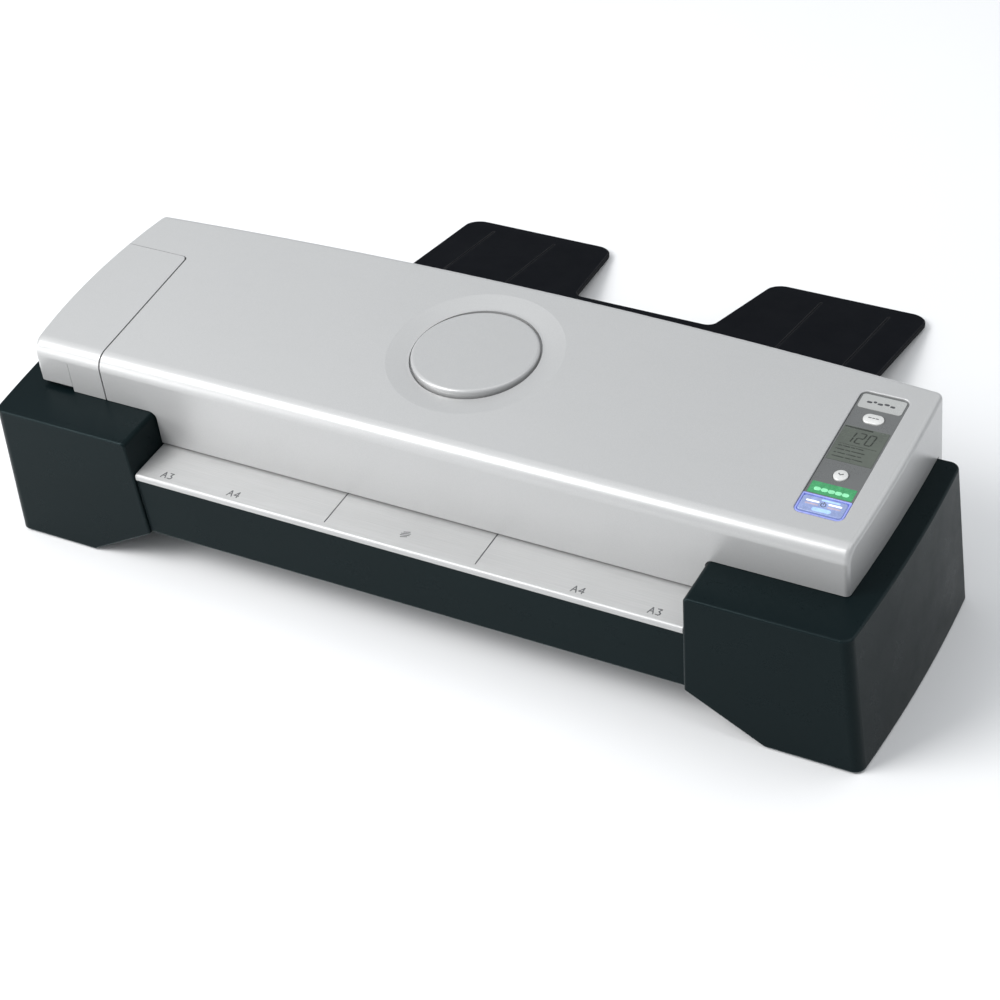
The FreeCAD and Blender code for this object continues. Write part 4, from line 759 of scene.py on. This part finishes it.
def label_dashes():
    """Plain printed dashes where such a plate carries its words."""
    across, along = span("label_plate", ACROSS), span("label_plate", ALONG)
    top = span("label_plate", UP)[1]
    bm = bmesh.new()
    stops = [4.4, 7.8, 10.2, 13.6, 17.0, 20.2]
    for n, (start, end) in enumerate(zip(stops, stops[1:])):
        b = middle(along) + (0.35 if n % 2 else -0.35) * MM
        strip(bm, on_top, (across[0] + start * MM, b), (across[0] + (end - 1.9) * MM, b), 1.5 * MM,
              top - PRINT_ROOT, top + PRINT)
    piece("label_dashes", bm, DARK_INK, "chassis")


display()
ready_bars()
label_dashes()

# ---------------------------------------------------------------- feed shelf marks

shelf_low, shelf_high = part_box("feed_shelf")
HALF_A3 = 148.5 * MM       # half the paper's width, which is where its mark stands
HALF_A4 = 105.0 * MM
GLYPH_WIDTH = 3.0 * MM
GLYPH_HEIGHT = 4.3 * MM
GLYPH_PITCH = 4.0 * MM
GUIDE_PLACE = 46.0 * MM
# The strokes of each glyph, in a square one wide and one high.
STROKES = {
    "A": [(0.0, 0.0, 0.5, 1.0), (0.5, 1.0, 1.0, 0.0), (0.2, 0.38, 0.8, 0.38)],
    "3": [(0.1, 1.0, 0.8, 1.0), (0.8, 1.0, 0.45, 0.58), (0.45, 0.58, 0.85, 0.40), (0.85, 0.40, 0.85, 0.15),
          (0.85, 0.15, 0.6, 0.0), (0.6, 0.0, 0.1, 0.05)],
    "4": [(0.75, 0.0, 0.75, 1.0), (0.75, 1.0, 0.05, 0.32), (0.05, 0.32, 1.0, 0.32)],
}


def shelf_marks():
    """Paper-size marks for A3 and A4, a hatched mark on the centre line and the ink in the guide lines."""
    top = shelf_high.z
    bm = bmesh.new()
    for side in (-1, 1):
        for mark, reach in (("3", HALF_A3), ("4", HALF_A4)):
            for n, glyph in enumerate(("A", mark)):
                left = side * reach + n * GLYPH_PITCH - 3.5 * MM
                low = shelf_low.y + 4.2 * MM
                for x0, y0, x1, y1 in STROKES[glyph]:
                    strip(bm, flat, (left + x0 * GLYPH_WIDTH, low + y0 * GLYPH_HEIGHT),
                          (left + x1 * GLYPH_WIDTH, low + y1 * GLYPH_HEIGHT), 0.80 * MM, top - PRINT_ROOT,
                          top + PRINT)
    for n in range(4):
        low = shelf_low.y + (9.0 + n * 1.3) * MM
        wide = (1.6, 2.4, 2.4, 1.6)[n] * MM
        strip(bm, flat, (-wide, low), (wide, low + 1.0 * MM), 0.75 * MM, top - PRINT_ROOT, top + PRINT)
    piece("shelf_marks", bm, GREY_INK, "chassis")
    bm = bmesh.new()
    for side in (-1, 1):
        strip(bm, flat, (side * GUIDE_PLACE, shelf_low.y + 4.6 * MM),
              (side * GUIDE_PLACE, shelf_low.y + 30.0 * MM), 0.62 * MM, top - 0.4 * MM, top - 0.12 * MM)
    piece("guide_line_ink", bm, DARK_INK, "chassis")


shelf_marks()

# ---------------------------------------------------------------- feet and base screws

def islands(node):
    """The low and the high corner of each separate solid of a CAD node."""
    bm = bmesh.new()
    bm.from_mesh(NODES[node].data)
    bmesh.ops.remove_doubles(bm, verts=bm.verts, dist=1e-6)
    left = set(bm.verts)
    found = []
    while left:
        todo = [left.pop()]
        group = []
        while todo:
            v = todo.pop()
            group.append(v.co.copy())
            for edge in v.link_edges:
                other = edge.other_vert(v)
                if other in left:
                    left.discard(other)
                    todo.append(other)
        low = Vector([min(c[k] for c in group) for k in range(3)])
        high = Vector([max(c[k] for c in group) for k in range(3)])
        found.append((low, high))
    bm.free()
    return sorted(found, key=lambda pair: (pair[0].x, pair[0].y))


def circle(centre, radius, z):
    turns = [2 * math.pi * n / RING_POINTS for n in range(RING_POINTS)]
    return [Vector((centre.x + radius * math.cos(t), centre.y + radius * math.sin(t), z)) for t in turns]


def feet():
    """Rubber feet with a softened edge and a moulded ring in the underside."""
    bm = bmesh.new()
    for low, high in islands("rubber_feet"):
        centre = (low + high) / 2
        radius = (high.x - low.x) / 2
        z = low.z
        profile = [(1.0, high.z), (1.0, z + 0.45 * MM), (0.97, z + 0.15 * MM), (0.92, z), (0.70, z),
                   (0.66, z + 0.3 * MM), (0.52, z + 0.3 * MM), (0.48, z), (0.20, z)]
        loft(bm, [circle(centre, radius * share, level) for share, level in profile])
    made = piece("foot_pads", bm, FINISHES["foot_rubber"], "chassis")
    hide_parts("rubber_feet")


def cross_ring(centre, arm, width, z):
    """A plus-shaped outline about a centre."""
    ring = []
    for n in range(RING_POINTS):
        turn = 2 * math.pi * (n + 0.5) / RING_POINTS
        c, s = abs(math.cos(turn)), abs(math.sin(turn))
        reach = max(min(arm / c, width / s), min(arm / s, width / c))
        ring.append(Vector((centre.x + reach * math.cos(turn), centre.y + reach * math.sin(turn), z)))
    return ring


def screw_heads():
    """Pan heads with a cross recess."""
    bm = bmesh.new()
    for low, high in islands("base_screws"):
        centre = (low + high) / 2
        radius = (high.x - low.x) / 2
        z = low.z
        profile = [(1.0, high.z), (1.0, z + 0.55 * MM), (0.95, z + 0.25 * MM), (0.84, z + 0.06 * MM),
                   (0.72, z)]
        rings = [circle(centre, radius * share, level) for share, level in profile]
        rings += [cross_ring(centre, radius * 0.58, radius * 0.17, z),
                  cross_ring(centre, radius * 0.42, radius * 0.13, z + 0.7 * MM)]
        loft(bm, rings)
    made = piece("base_screw_heads", bm, FINISHES["frame_steel"], "chassis")
    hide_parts("base_screws")


feet()
screw_heads()

# ---------------------------------------------------------------- floor

FLOOR_HALF = 6.0


def floor():
    """A plain pale paper floor."""
    bm = bmesh.new()
    bmesh.ops.create_grid(bm, x_segments=8, y_segments=8, size=FLOOR_HALF)
    mesh = bpy.data.meshes.new("floor")
    bm.to_mesh(mesh)
    bm.free()
    made = Recipe("floor_paper")
    made.fixed(Specular_IOR_Level=0.2)
    soft = made.noise(6.0, 2.0)
    tone = made.blended(soft, (0.76, 0.76, 0.765), (0.78, 0.78, 0.78))
    rough = made.ranged(soft, 0, 1, 0.85, 0.95)
    mesh.materials.append(made.finish(tone, rough, made.bumped(soft, 0.01 * MM)))
    ground = bpy.data.objects.new("floor", mesh)
    bpy.context.scene.collection.objects.link(ground)


floor()
